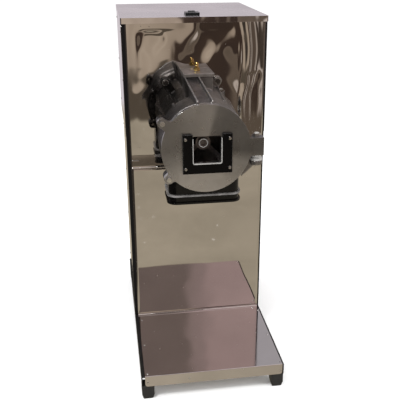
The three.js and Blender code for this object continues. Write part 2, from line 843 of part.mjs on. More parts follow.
function buildChamber() {
  const boss = box(
    millX + jacketShift - jacketWidth / 2 + jacketMargin,
    millX + jacketShift + jacketWidth / 2 - jacketMargin,
    -jacketDepth + jacketMargin,
    -jacketMargin / 2,
    millZ + rearCavityRadius,
    jacketTop - jacketThickness - seat,
  );
  const hub = rod(hubRadius, millX, millZ, wallFront, hubReach, medium);
  const outside = joined(
    turned(drumProfile(0), millX, millZ, fine),
    boss,
    ...crestSolids(),
    ...drumRibs(),
    ...mountEars(),
    ...clamps.map(clampEar),
    hingeEar(),
  );
  const grinding = rod(chamberBore, millX, millZ, chamberFront - overrun, wallFront, fine);
  const rearCavity = rod(rearCavityRadius, millX, millZ, wallRear, overrun, medium);
  const seatBore = rod(bearingRadius + seat, millX, millZ, wallRear + overrun, hubReach + overrun, snug);
  const seal = rod(sealBore, millX, millZ, wallFront - overrun, wallRear + overrun * 2, small);
  const pinHole = uprightRod(
    hingePinRadius + running,
    hingeX,
    hingeY,
    hingeEarTop - hingeEarThickness - overrun,
    hingeEarTop + overrun,
    snug,
  );
  const discharge = box(
    millX - dischargeWidth / 2,
    millX + dischargeWidth / 2,
    -spoutFront + spoutWall,
    -spoutFront + spoutDepth - spoutWall,
    millZ - mountEarRadius,
    millZ - chamberBore / 2,
  );
  const shell = cut(outside, grinding, rearCavity, discharge);
  addMesh("chamber_body", cut(shell.add(hub), seatBore, seal, pinHole), castAluminium);
}

function buildJacketPlate() {
  const middle = millX + jacketShift;
  const half = jacketWidth / 2;
  const outline = roundedRectangle(middle - half, middle + half, -jacketDepth, -seat, jacketMargin / 2);
  outline.holes.push(roundHole([middle, -nippleFromPanel], nippleNeckRadius + running, small));
  addMesh("jacket_plate", standing(outline, jacketTop - jacketThickness, jacketTop, 2), castAluminium);
  const hexBase = jacketTop + seat;
  const hexTop = hexBase + nippleHexHeight;
  const hex = standing(hexagon(nippleHexWidth, middle, -nippleFromPanel), hexBase, hexTop);
  const height = nippleHeight - nippleHexHeight;
  const barbs = nippleBarbShares.map((share, i) => [
    i % 2 ? nippleNeckRadius : nippleBarbRadius,
    hexTop + height * share,
  ]);
  const stem = turnedUpright(
    [
      [0, jacketTop - jacketThickness + seat],
      [nippleNeckRadius, jacketTop - jacketThickness + seat],
      [nippleNeckRadius, hexTop + height * nippleBarbShares[0]],
      ...barbs,
      [0, hexTop + height],
    ],
    middle,
    -nippleFromPanel,
    small,
  );
  const bore = uprightRod(nippleBore, middle, -nippleFromPanel, hexBase, hexTop + height + overrun, small);
  addMesh("hose_nipple", joined(hex, stem).subtract(bore), brass);
}

// The sieve lies in the lower half of the bore, pierced by rows of round holes.
function buildSieve() {
  const outer = chamberBore - seat;
  const front = chamberFront + sieveFromFront;
  const rear = wallFront - seat;
  const ring = tube(outer - sieveThickness, outer, millX, millZ, front, rear, fine);
  const wedge = new THREE.Shape();
  const open = (180 - sieveSpan) / 2;
  wedge.moveTo(millX, millZ);
  wedge.absarc(millX, millZ, mountEarRadius, -open * degree, (180 + open) * degree);
  let sieve = ring.subtract(runningBack(wedge, front - overrun, rear + overrun, fine));
  const along = (rear - front) / sieveHolesAlong;
  const round = (sieveSpan - 2 * open) / sieveHolesRound;
  for (let i = 0; i < sieveHolesRound; i++) {
    const angle = 180 + 2 * open + round * (i + 0.5);
    for (let k = 0; k < sieveHolesAlong; k++) {
      const y = front + along * (k + 0.5);
      sieve = sieve.subtract(radialPin(angle, outer - 2 * overrun, outer + 2 * overrun, y));
    }
  }
  addMesh("sieve_screen", sieve, plainSteel);
}

function radialPin(angle, from, to, y) {
  const geometry = new THREE.CylinderGeometry(sieveHoleRadius, sieveHoleRadius, to - from, 6);
  geometry.rotateZ(-90 * degree).translate((from + to) / 2, 0, 0).rotateY(-angle * degree);
  return solid(geometry.translate(millX, y, millZ));
}

// A flared neck with two lips for tying a bag, cut to saddle the drum
function buildSpout() {
  const half = spoutWidth / 2;
  const front = -spoutFront;
  const rear = front + spoutDepth;
  const ring = (grow) => roundedRectangle(
    millX - half - grow,
    millX + half + grow,
    front - grow,
    rear + grow,
    spoutCorner + grow,
  );
  const lip = (z) => standing(ring(spoutLip), z, z + spoutLipHeight, 4);
  const neck = joined(
    standing(ring(0), spoutBottom, millZ - chamberBore / 2, 4),
    lip(spoutBottom),
    lip(spoutBottom + spoutGroove + spoutLipHeight),
  );
  const inside = standing(ring(-spoutWall), spoutBottom - overrun, millZ, 4);
  const saddle = turned(drumProfile(seat), millX, millZ, fine);
  const earOutline = lugOutline(lowerLugAngle, chamberBore, lowerLugRadius, lugWidth + 2 * seat);
  const earRear = chamberFront + clampEarDepth + seat;
  const earRoom = runningBack(earOutline, chamberFront, earRear, 8);
  const filletRear = chamberFront + lugFilletDepth + seat;
  const filletRoom = runningBack(lugFillets(lowerLugAngle, seat), chamberFront, filletRear, 5);
  addMesh("outlet_spout", cut(neck, inside, saddle, earRoom, filletRoom), blackPaint);
}

function buildDoor() {
  const feedX = millX + feedShift;
  const feedZ = millZ - feedDrop;
  const halfWidth = feedWidth / 2;
  const halfHeight = feedHeight / 2;
  const disc = rod(doorRadius, millX, millZ, doorFace, doorBack, fine);
  const lugs = clamps.map(([, angle, radius]) => {
    const lug = runningBack(lugOutline(angle, gasketOuter, radius, lugWidth), doorFace, doorBack, 8);
    return lug.add(runningBack(lugFillets(angle, 0), doorFace, doorBack, 5));
  });
  const knuckle = joined(
    box(millX + gasketOuter - overrun, hingeX + knuckleRadius, doorFace, doorBack, knuckleBottom, knuckleTop),
    uprightRod(knuckleRadius, hingeX, hingeY, knuckleBottom, knuckleTop, small),
    box(hingeX - knuckleRadius, hingeX + knuckleRadius, doorFace, hingeY, knuckleBottom, knuckleTop),
  );
  const feed = roundedRectangle(
    feedX - halfWidth,
    feedX + halfWidth,
    feedZ - halfHeight,
    feedZ + halfHeight,
    feedCorner,
  );
  const boltHoles = clamps.map(([, angle, radius]) => {
    const [x, z] = polarPlace(angle, radius);
    return rod(clampBoltRadius + running, x, z, doorFace - overrun, doorBack + overrun, small);
  });
  const door = cut(
    joined(disc, ...lugs, knuckle),
    runningBack(feed, doorFace - overrun, doorBack + overrun, 4),
    uprightRod(hingePinRadius + running, hingeX, hingeY, knuckleBottom - overrun, knuckleTop + overrun, snug),
    ...boltHoles,
  );
  addMesh("mill_door", door, turnedAluminium);
  const gasketFront = doorBack + seat;
  const gasket = tube(gasketInner, gasketOuter, millX, millZ, gasketFront, gasketFront + gasketThickness, fine);
  addMesh("door_gasket", gasket, rubber);
}

function buildClampBolts() {
  for (const [word, angle, radius] of clamps) {
    const [x, z] = polarPlace(angle, radius);
    const head = doorFace - seat;
    const hex = runningBack(hexagon(clampHeadWidth, x, z), head - clampHeadHeight, head);
    const shank = rod(clampBoltRadius, x, z, head - overrun, chamberFront + clampBoltReach, small);
    addMesh("clamp_bolt_" + word, hex.add(shank), plainSteel);
  }
}

// A U-shaped bracket: its flange lies on the door, and its lip stands off to hold the hopper's edge.
function buildHopperBracket() {
  const x = millX + bracketShift;
  const top = millZ - bracketDrop + bracketHeight / 2;
  const half = bracketWidth / 2;
  const bottom = top - bracketHeight;
  const uShape = (bar) => polygon([
    [x - half, top],
    [x - half, bottom],
    [x + half, bottom],
    [x + half, top],
    [x + half - bar, top],
    [x + half - bar, bottom + bar],
    [x - half + bar, bottom + bar],
    [x - half + bar, top],
  ]);
  const back = doorFace - seat;
  const face = back - bracketSlot - bracketLip;
  const flange = runningBack(uShape(bracketFlange), face, back);
  const lip = runningBack(uShape(bracketBar), face, face + bracketLip);
  const screws = [];
  for (const screwX of [x - half + bracketScrewInset, x + half - bracketScrewInset]) {
    for (const screwZ of [bottom + bracketScrewInset * 2, top - bracketScrewInset * 2]) {
      screws.push(rod(bracketScrewRadius, screwX, screwZ, face - bracketScrewHead, face + overrun, 12));
    }
  }
  addMesh("hopper_bracket", joined(flange, lip, ...screws), blackPaint);
}

// The pin stands in the ear; its collar carries the door's knuckle and a nut closes it above.
function buildHingePin() {
  const bottom = hingeEarTop - hingeEarThickness;
  const collarBottom = hingeEarTop + seat;
  const collarTop = knuckleBottom - seat;
  const nutBase = knuckleTop + seat;
  const nutTop = nutBase + hingeNutHeight;
  const pin = turnedUpright(
    [
      [0, bottom],
      [hingePinRadius, bottom],
      [hingePinRadius, collarBottom],
      [hingeCollarRadius, collarBottom],
      [hingeCollarRadius, collarTop],
      [hingePinRadius, collarTop],
      [hingePinRadius, nutTop + overrun],
      [0, nutTop + overrun],
    ],
    hingeX,
    hingeY,
    snug,
  );
  addMesh("hinge_pin", pin, plainSteel);
  const hole = uprightRod(hingePinRadius + seat, hingeX, hingeY, nutBase - overrun, nutTop + overrun, snug);
  const nut = standing(hexagon(hingeNutWidth, hingeX, hingeY), nutBase, nutTop);
  addMesh("hinge_nut", nut.subtract(hole), plainSteel);
}

// A blade widens to a hammer at its tip.
function bladeOutline() {
  const tip = rotorReach - bladeTipLength;
  const neck = bladeThickness / 2;
  const wide = bladeTipThickness / 2;
  return polygon([
    [0, -neck],
    [tip - neck, -neck],
    [tip, -wide],
    [rotorReach, -wide],
    [rotorReach, wide],
    [tip, wide],
    [tip - neck, neck],
    [0, neck],
  ]);
}

function buildRotor() {
  const front = -rotorFront;
  const rear = wallFront - rotorGap;
  const hub = rod(rotorHubRadius, millX, millZ, front, rear, medium);
  const blades = bladeAngles.map((angle) => {
    const geometry = extruded(bladeOutline(), rear - front - bladeInset, 1).rotateX(90 * degree);
    return solid(geometry.rotateY(-angle * degree).translate(millX, rear, millZ));
  });
  const bore = rod(shaftRadius + seat, millX, millZ, front - overrun, rear + overrun, snug);
  addMesh("beater_rotor", cut(joined(hub, ...blades), bore), plainSteel);
  buildRotorScrew(front);
}

function buildRotorScrew(rotorFace) {
  const headBack = rotorFace - seat;
  const head = rod(rotorScrewHead + overrun, millX, millZ, headBack - rotorScrewHeadHeight, headBack, small);
  const shank = rod(rotorScrewRadius, millX, millZ, headBack - overrun, headBack + rotorScrewLength, small);
  const socket = runningBack(
    hexagon(rotorScrewSocket * 2, millX, millZ),
    headBack - rotorScrewHeadHeight - overrun,
    headBack - rotorScrewHeadHeight + rotorScrewSocketDepth,
  );
  addMesh("rotor_screw", cut(head.add(shank), socket), plainSteel);
  const shaftFront = rotorFace + seat;
  const shaft = rod(shaftRadius, millX, millZ, shaftFront, shaftRear, snug);
  const tapped = rod(
    rotorScrewRadius + seat,
    millX,
    millZ,
    shaftFront - overrun,
    headBack + rotorScrewLength + overrun,
    small,
  );
  addMesh("mill_shaft", shaft.subtract(tapped), plainSteel);
}

// The front bearing sits against the back wall, and a sleeve keeps the rear one at the hub's end.
function buildBearings() {
  const frontSeat = wallRear + overrun + seat;
  const rearSeat = hubReach - bearingWidth - seat;
  const bore = shaftRadius + running;
  const ringProfile = (y) => [
    [bore, y],
    [bore + bearingRing, y],
    [bore + bearingRing, y + bearingRecess],
    [bearingRadius - bearingRing, y + bearingRecess],
    [bearingRadius - bearingRing, y],
    [bearingRadius, y],
    [bearingRadius, y + bearingWidth],
    [bore, y + bearingWidth],
    [bore, y],
  ];
  addMesh("bearing_front", turned(ringProfile(frontSeat), millX, millZ, snug), plainSteel);
  addMesh("bearing_rear", turned(ringProfile(rearSeat), millX, millZ, snug), plainSteel);
  const sleeveInner = bearingRadius - bearingRing;
  const sleeveFront = frontSeat + bearingWidth + seat;
  const sleeve = tube(sleeveInner, bearingRadius, millX, millZ, sleeveFront, rearSeat - seat, snug);
  addMesh("bearing_sleeve", sleeve, plainSteel);
}

function buildChamberPlate() {
  const half = sideSheetX - seat;
  const front = frameFront + angleWall + seat;
  const bottom = millZ - mountEarRadius;
  const top = millZ + mountEarRadius;
  const outline = roundedRectangle(-half, half, bottom, top, lidCorner);
  outline.holes.push(roundHole([millX, millZ], hubRadius + seat, medium), ...mountHoles());
  addMesh("chamber_plate", runningBack(outline, front, front + chamberPlateThickness, 2), blackPaint);
}

// A pulley's rim section, with the V groove that clears the belt on both sides
function pulleyProfile(pitch, bore) {
  const front = pulleyFromSheet;
  const rear = front + pulleyWidth;
  const middle = (front + rear) / 2;
  const rim = pitch + pulleyRim;
  const floor = pitch - grooveFloor;
  const slope = (beltHalfTop - beltHalfBottom) / (beltAbovePitch + beltBelowPitch);
  const halfAt = (radius) => beltHalfBottom + beltClearance + (radius - pitch + beltBelowPitch) * slope;
  return [
    [bore, front],
    [rim, front],
    [rim, middle - halfAt(rim)],
    [floor, middle - halfAt(floor)],
    [floor, middle + halfAt(floor)],
    [rim, middle + halfAt(rim)],
    [rim, rear],
    [bore, rear],
    [bore, front],
  ];
}

function buildPulleys() {
  const driven = turned(pulleyProfile(millPulleyPitch, shaftRadius + seat), millX, millZ, snug);
  addMesh("driven_pulley", driven, castIron);
  const rimInner = motorPulleyPitch - pulleyRimWall;
  const middle = pulleyFromSheet + pulleyWidth / 2;
  const bore = motorShaftRadius + seat;
  let large = turned(pulleyProfile(motorPulleyPitch, bore), millX, motorZ, snug);
  const pockets = [
    [pulleyFromSheet - overrun, middle - pulleyWeb / 2],
    [middle + pulleyWeb / 2, pulleyFromSheet + pulleyWidth + overrun],
  ];
  for (const [y0, y1] of pockets) {
    large = large.subtract(tube(pulleyHub, rimInner, millX, motorZ, y0, y1, medium));
  }
  const holeCircle = (pulleyHub + rimInner) / 2;
  const holeRadius = (rimInner - pulleyHub) / 3;
  for (let i = 0; i < 6; i++) {
    const x = millX + holeCircle * Math.cos(60 * i * degree);
    const z = motorZ + holeCircle * Math.sin(60 * i * degree);
    large = large.subtract(rod(holeRadius, x, z, pulleyFromSheet, pulleyFromSheet + pulleyWidth, 12));
  }
  addMesh("drive_pulley", large, castIron);
}

// The belt's section is carried round both pulleys and along the two straight runs.
function buildBelt() {
  const middle = pulleyFromSheet + pulleyWidth / 2;
  const centres = millZ - motorZ;
  const lean = Math.asin((motorPulleyPitch - millPulleyPitch) / centres);
  const stations = [];
  const arc = (z, pitch, from, to, steps) => {
    for (let i = 0; i <= steps; i++) {
      const angle = from + ((to - from) * i) / steps;
      stations.push([z, pitch, Math.cos(angle), Math.sin(angle)]);
    }
  };
  arc(millZ, millPulleyPitch, lean, Math.PI - lean, 24);
  arc(motorZ, motorPulleyPitch, Math.PI - lean, 2 * Math.PI + lean, 32);
  const section = [
    [beltAbovePitch, -beltHalfTop],
    [beltAbovePitch, beltHalfTop],
    [-beltBelowPitch, beltHalfBottom],
    [-beltBelowPitch, -beltHalfBottom],
  ];
  const positions = [];
  for (const [z, pitch, outX, outZ] of stations) {
    for (const [out, across] of section) {
      positions.push(millX + outX * (pitch + out), middle + across, z + outZ * (pitch + out));
    }
  }
  const index = [];
  const corners = section.length;
  for (let i = 0; i < stations.length; i++) {
    const next = (i + 1) % stations.length;
    for (let k = 0; k < corners; k++) {
      const other = (k + 1) % corners;
      const [a, b] = [i * corners + k, i * corners + other];
      const [c, d] = [next * corners + k, next * corners + other];
      index.push(a, b, d, a, d, c);
    }
  }
  const geometry = new THREE.BufferGeometry();
  geometry.setAttribute("position", new THREE.Float32BufferAttribute(positions, 3));
  geometry.setIndex(index);
  addMesh("drive_belt", solid(geometry), rubber);
}

function finnedOutline() {
  const points = [];
  const pitch = 360 / motorFinCount;
  for (let i = 0; i < motorFinCount; i++) {
    const steps = [
      [motorCoreRadius, 0],
      [motorCoreRadius, 1 - motorFinShare],
      [motorCoreRadius + motorFinHeight, 1 - motorFinShare],
      [motorCoreRadius + motorFinHeight, 1],
    ];
    for (const [radius, share] of steps) {
      const angle = (i + share) * pitch * degree;
      points.push([millX + radius * Math.cos(angle), motorZ + radius * Math.sin(angle)]);
    }
  }
  return polygon(points);
}

function buildMotorBody() {
  const rear = motorBodyFront + motorBodyLength;
  let body = runningBack(finnedOutline(), motorBodyFront, rear);
  const footBase = motorPlateTop + seat;
  const outline = polygon([
    [millX - motorFootWidth / 2, footBase],
    [millX + motorFootWidth / 2, footBase],
    [millX + motorFootWidth / 2, footBase + motorFootThickness],
    [millX + motorFootWeb / 2, motorZ - motorCoreRadius / 2],
    [millX - motorFootWeb / 2, motorZ - motorCoreRadius / 2],
    [millX - motorFootWidth / 2, footBase + motorFootThickness],
  ]);
  for (const y0 of motorFootPlaces()) {
    body = body.add(runningBack(outline, y0, y0 + motorFootLength));
  }
  const padTop = motorZ + motorCoreRadius + motorFinHeight + overrun;
  const padHalf = terminalWidth / 2;
  const padFront = terminalFront();
  body = body.add(box(millX - padHalf, millX + padHalf, padFront, padFront + terminalLength, motorZ, padTop));
  const bore = rod(motorCoreBore, millX, motorZ, motorBodyFront - overrun, rear + overrun, snug);
  addMesh("motor_body", body.subtract(bore), motorPaint);
  const lid = roundedRectangle(millX - padHalf, millX + padHalf, padFront, padFront + terminalLength, terminalCorner);
  addMesh("terminal_box", standing(lid, padTop + seat, padTop + seat + terminalHeight, 4), blackPlastic);
}

function motorFootPlaces() {
  const inset = motorFootThickness;
  return [motorBodyFront + inset, motorBodyFront + motorBodyLength - inset - motorFootLength];
}

function terminalFront() {
  return motorBodyFront + (motorBodyLength - terminalLength) / 2;
}

// Both end shields are domes with a bearing nose; the fan's cover follows the rear one.
function buildMotorEnds() {
  const rear = motorBodyFront + motorBodyLength;
  const outer = motorCoreRadius + motorFinHeight;
  const bore = motorShaftRadius + running;
  const shield = (flat, away) => [
    [bore, flat],
    [outer, flat],
    [outer, flat + (away * shieldDepth) / 3],
    [shieldNoseRadius * 2, flat + (away * shieldDepth * 2) / 3],
    [shieldNoseRadius, flat + (away * shieldDepth * 2) / 3],
    [shieldNoseRadius, flat + away * shieldDepth],
    [bore, flat + away * shieldDepth],
    [bore, flat],
  ];
  const front = turned(shield(motorBodyFront - seat, -1), millX, motorZ, snug);
  addMesh("motor_front_shield", front, motorPaint);
  addMesh("motor_rear_shield", turned(shield(rear + seat, 1), millX, motorZ, snug), motorPaint);
  buildFan(rear + seat + shieldDepth);
  buildFanCover(rear + seat + shieldDepth / 3, outer);
}

function buildFanCover(front, outer) {
  const rear = front + fanCoverDepth;
  const shell = turned(
    [
      [outer + seat, front - shieldDepth / 6],
      [outer + seat + fanCoverWall, front - shieldDepth / 6],
      [outer + seat + fanCoverWall, rear - fanCoverWall * 4],
      [outer - fanCoverWall * 4, rear],
      [0, rear],
      [0, rear - fanCoverWall],
      [outer - fanCoverWall * 5, rear - fanCoverWall],
      [outer + seat, rear - fanCoverWall * 5],
      [outer + seat, front - shieldDepth / 6],
    ],
    millX,
    motorZ,
    snug,
  );
  const slots = [];
  for (let i = 0; i < fanSlots; i++) {
    const geometry = new THREE.BoxGeometry(fanSlotOuter - fanSlotInner, 2 * overrun, fanSlotWidth);
    geometry.translate((fanSlotInner + fanSlotOuter) / 2, 0, 0).rotateY(((-360 * i) / fanSlots) * degree);
    geometry.translate(millX, rear, motorZ);
    slots.push(solid(geometry));
  }
  addMesh("fan_cover", cut(shell, ...slots), motorPaint);
}

function buildFan(shieldNose) {
  const front = shieldNose + fanBladeThickness;
  const rear = front + fanDepth;
  const hub = rod(fanHubRadius, millX, motorZ, front, rear, medium);
  const disc = rod(fanReach, millX, motorZ, front, front + fanBladeThickness, medium);
  const blades = [];
  for (let i = 0; i < fanBlades; i++) {
    const half = fanBladeThickness / 2;
    const blade = polygon([[0, -half], [fanReach, -half], [fanReach, half], [0, half]]);
    const geometry = extruded(blade, fanDepth, 1).rotateX(90 * degree);
    blades.push(solid(geometry.rotateY(((-360 * i) / fanBlades) * degree).translate(millX, rear, motorZ)));
  }
  const bore = rod(motorShaftRadius + seat, millX, motorZ, front - overrun, rear + overrun, snug);
  addMesh("motor_fan", cut(joined(hub, disc, ...blades), bore), blackPlastic);
  const shaft = rod(motorShaftRadius, millX, motorZ, motorShaftFront, rear, snug);
  const coreFront = motorBodyFront + motorWinding;
  const coreRear = motorBodyFront + motorBodyLength - motorWinding;
  const core = rod(motorCoreBore - motorAirGap, millX, motorZ, coreFront, coreRear, snug);
  addMesh("motor_shaft", shaft.add(core), plainSteel);
}

function buildMotorPlate() {
  const half = sideSheetX - seat;
  const bottom = railTop + seat;
  const top = bottom + motorPlateThickness;
  const outline = roundedRectangle(-half, half, motorPlateFront, motorPlateFront + motorPlateDepth, lidCorner);
  const slots = [];
  for (const side of [-1, 1]) {
    const x = millX + side * (motorFootWidth / 2 - motorSlotInset);
    for (const y0 of motorFootPlaces()) {
      const y = y0 + motorFootLength / 2;
      const [halfWidth, halfLength] = [motorSlotWidth / 2, motorSlotLength / 2];
      slots.push(box(x - halfWidth, x + halfWidth, y - halfLength, y + halfLength, bottom - overrun, top + overrun));
    }
  }
  addMesh("motor_plate", cut(standing(outline, bottom, top, 2), ...slots), blackPaint);
}

buildFrame();
buildFeet();
buildShelf();
buildFrontSheets();
buildSideSheets();
buildRearPanel();
buildLid();
buildLidHinge();
buildSwitch();
buildChamberPlate();
buildChamber();
buildJacketPlate();
buildSieve();
buildSpout();
buildDoor();
buildClampBolts();
buildHopperBracket();
buildHingePin();
buildRotor();
buildBearings();
buildPulleys();
buildBelt();
buildMotorPlate();
buildMotorBody();
buildMotorEnds();

// The origin is the middle of the footprint, on the floor.
machine.position.y = (shelfDepth - machineRear) / 2;

export default machine;
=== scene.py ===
import json
import math

import bmesh
import bpy
from mathutils import Matrix, Vector, noise

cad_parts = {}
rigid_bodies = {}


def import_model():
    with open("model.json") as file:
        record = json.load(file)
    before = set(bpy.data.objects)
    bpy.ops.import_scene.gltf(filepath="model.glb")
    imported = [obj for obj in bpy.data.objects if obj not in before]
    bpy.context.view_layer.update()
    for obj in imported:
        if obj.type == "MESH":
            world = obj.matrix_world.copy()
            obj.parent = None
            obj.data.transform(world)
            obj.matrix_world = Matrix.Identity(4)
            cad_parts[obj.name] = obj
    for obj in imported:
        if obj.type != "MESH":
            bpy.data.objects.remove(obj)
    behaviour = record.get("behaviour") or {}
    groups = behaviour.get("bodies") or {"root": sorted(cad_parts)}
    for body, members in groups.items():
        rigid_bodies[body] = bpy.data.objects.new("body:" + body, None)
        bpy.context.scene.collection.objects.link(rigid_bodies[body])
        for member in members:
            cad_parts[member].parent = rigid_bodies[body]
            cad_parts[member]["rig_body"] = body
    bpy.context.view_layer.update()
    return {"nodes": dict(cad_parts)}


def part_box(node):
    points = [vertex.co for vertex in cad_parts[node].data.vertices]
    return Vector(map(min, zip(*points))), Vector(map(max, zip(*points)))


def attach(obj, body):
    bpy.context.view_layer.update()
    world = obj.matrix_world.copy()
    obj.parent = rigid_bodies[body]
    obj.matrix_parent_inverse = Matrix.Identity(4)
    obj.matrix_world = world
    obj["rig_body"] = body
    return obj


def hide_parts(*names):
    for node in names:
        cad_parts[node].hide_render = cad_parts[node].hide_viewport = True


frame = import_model()
nodes = frame["nodes"]

mm = 0.001
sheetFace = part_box("front_lower_panel")[0].y  # the front sheet's face, from which depths are counted
across = Vector((1, 0, 0))
forward = Vector((0, -1, 0))
upward = Vector((0, 0, 1))
print("frame loaded")


def at(x, y, z):  # millimetres, with y counted back from the front sheet's face
    return Vector((x * mm, sheetFace + y * mm, z * mm))


def keepFacesFlat(piece):  # broad faces stay flat, and only their broken edges are shaded round
    even = piece.modifiers.new("even", "WEIGHTED_NORMAL")
    even.weight = 100
    even.keep_sharp = True


def thicken(piece, thickness):
    wall = piece.modifiers.new("wall", "SOLIDIFY")
    wall.thickness = thickness
    wall.offset = -1


def slide(bm, made, move):  # moves the vertices of an extrusion, in millimetres from the start
    verts = [v for v in made["geom"] if isinstance(v, bmesh.types.BMVert)]
    bmesh.ops.translate(bm, verts=verts, vec=Vector(move) * mm)


def faceOutward(bm, away):  # makes an open sheet's faces look to one side
    bmesh.ops.recalc_face_normals(bm, faces=bm.faces)
    if sum(face.normal.dot(away) for face in bm.faces) < 0:
        bmesh.ops.reverse_faces(bm, faces=bm.faces)


def addPiece(bm, name, body, materials, stands=(), angle=35, flatFaces=True):
    mesh = bpy.data.meshes.new(name)
    bm.to_mesh(mesh)
    bm.free()
    for material in materials:
        mesh.materials.append(material)
    mesh.shade_smooth()
    mesh.set_sharp_from_angle(angle=math.radians(angle))
    piece = bpy.data.objects.new(name, mesh)
    bpy.context.scene.collection.objects.link(piece)
    if flatFaces:
        keepFacesFlat(piece)
    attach(piece, body)
    if stands:
        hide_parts(*stands)
    return piece


def bodyOf(node):
    return nodes[node]["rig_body"]


def meshOf(node):  # a merged copy of a CAD node's mesh, with flat faces joined again
    bm = bmesh.new()
    bm.from_mesh(nodes[node].data)
    for layer in list(bm.loops.layers.uv):
        bm.loops.layers.uv.remove(layer)
    bmesh.ops.remove_doubles(bm, verts=bm.verts, dist=0.01 * mm)
    bmesh.ops.dissolve_limit(bm, angle_limit=math.radians(0.6), verts=bm.verts, edges=bm.edges)
    return bm


def sharpEdges(bm, angle):
    limit = math.radians(angle)
    return [e for e in bm.edges if len(e.link_faces) == 2 and e.calc_face_angle(0) > limit]


def bevelEdges(bm, edges, width, segments=2):
    bmesh.ops.bevel(bm, geom=edges, offset=width * mm, offset_type="OFFSET", segments=segments,
                    profile=0.5, affect="EDGES", clamp_overlap=True, material=-1)


# A copy of a CAD node with its edges broken, as a folded, sawn or moulded piece has them
def softened(node, name, material, width=0.5, segments=2, angle=30):
    bm = meshOf(node)
    bevelEdges(bm, sharpEdges(bm, angle), width, segments)
    return addPiece(bm, name, bodyOf(node), [material], [node])


def turnTo(direction):
    return upward.rotation_difference(Vector(direction)).to_matrix().to_4x4()


# A profile of radius and height in millimetres, spun about its own upright axis
def spun(profile, steps=16):
    bm = bmesh.new()
    verts = [bm.verts.new((radius * mm, 0, height * mm)) for radius, height in profile]
    edges = [bm.edges.new(pair) for pair in zip(verts, verts[1:])]
    bmesh.ops.spin(bm, geom=verts + edges, cent=(0, 0, 0), axis=upward, angle=math.tau,
                   steps=steps, use_merge=True, use_duplicate=False)
    bmesh.ops.remove_doubles(bm, verts=bm.verts, dist=0.005 * mm)
    bmesh.ops.recalc_face_normals(bm, faces=bm.faces)
    return bm


def hexHead(width, height, chamfer=0.8):
    bm = bmesh.new()
    reach = width / math.sqrt(3) * mm
    bmesh.ops.create_cone(bm, cap_ends=True, segments=6, radius1=reach, radius2=reach,
                          depth=height * mm, matrix=Matrix.Translation((0, 0, height * mm / 2)))
    bevelEdges(bm, list(bm.edges), chamfer, 2)
    return bm


def placed(target, source, matrix):  # adds a copy of one bmesh to another
    mesh = bpy.data.meshes.new("copied")
    source.to_mesh(mesh)
    mesh.transform(matrix)
    target.from_mesh(mesh)
    bpy.data.meshes.remove(mesh)


def fasteners(name, body, material, source, places):
    bm = bmesh.new()
    for place, direction in places:
        placed(bm, source, Matrix.Translation(place) @ turnTo(direction))
    source.free()
    return addPiece(bm, name, body, [material])


def wire(tree, start, end):
    tree.links.new(start, end)


def addNode(tree, kind, values=None, **settings):  # each value is a constant, or a socket to link from
    node = tree.nodes.new(kind)
    for key, value in settings.items():
        setattr(node, key, value)
    for key, value in (values or {}).items():
        if isinstance(value, bpy.types.NodeSocket):
            wire(tree, value, node.inputs[key])
        else:
            node.inputs[key].default_value = value
    return node


def calculated(tree, operation, first, second=0):
    return addNode(tree, "ShaderNodeMath", {0: first, 1: second}, operation=operation).outputs[0]


def separated(tree, vector):
    return addNode(tree, "ShaderNodeSeparateXYZ", {0: vector}).outputs


def remapped(tree, value, low, high, smooth=False, base=0):  # from 0, or the base, at low to 1 at high
    values = {"Value": value, "From Min": low, "From Max": high, "To Min": base}
    kind = "SMOOTHSTEP" if smooth else "LINEAR"
    return addNode(tree, "ShaderNodeMapRange", values, interpolation_type=kind).outputs["Result"]


def clouds(tree, vector, result="Fac", **values):
    return addNode(tree, "ShaderNodeTexNoise", {"Vector": vector, **values}).outputs[result]


def newGroup(name, inputs, output):  # a group that takes a vector and some numbers, and gives one number
    group = bpy.data.node_groups.new(name, "ShaderNodeTree")
    group.interface.new_socket(name="Vector", in_out="INPUT", socket_type="NodeSocketVector")
    for label, value in inputs.items():
        socket = group.interface.new_socket(name=label, in_out="INPUT", socket_type="NodeSocketFloat")
        socket.default_value = value
    group.interface.new_socket(name=output, in_out="OUTPUT", socket_type="NodeSocketFloat")
    return group, group.nodes.new("NodeGroupInput").outputs, group.nodes.new("NodeGroupOutput").inputs[output]


# Slow changes over a surface, such as smudges and stains, between two given values
def makePatches():
    group, given, result = newGroup("patches", {"Scale": 10, "Low": 0, "High": 1}, "Value")
    cloud = clouds(group, given["Vector"], Scale=given["Scale"], Detail=5, Roughness=0.6, Distortion=0.4)
    spread = addNode(group, "ShaderNodeMapRange", {"Value": cloud, "From Min": 0.36, "From Max": 0.66,
                                                   "To Min": given["Low"], "To Max": given["High"]})
    wire(group, spread.outputs["Result"], result)
    return group


# The skin of a casting: a soft grain with small pits in it
def makeCastGrain():
    group, given, result = newGroup("castGrain", {"Scale": 600, "Pits": 0.5}, "Height")
    grain = clouds(group, given["Vector"], Scale=given["Scale"], Detail=4, Roughness=0.65)
    pitScale = calculated(group, "MULTIPLY", given["Scale"], 0.35)
    cells = addNode(group, "ShaderNodeTexVoronoi", {"Vector": given["Vector"], "Scale": pitScale})
    pit = remapped(group, cells.outputs["Distance"], 0.05, 0.3)
    deep = calculated(group, "MULTIPLY", pit, given["Pits"])
    wire(group, calculated(group, "ADD", grain, deep), result)
    return group


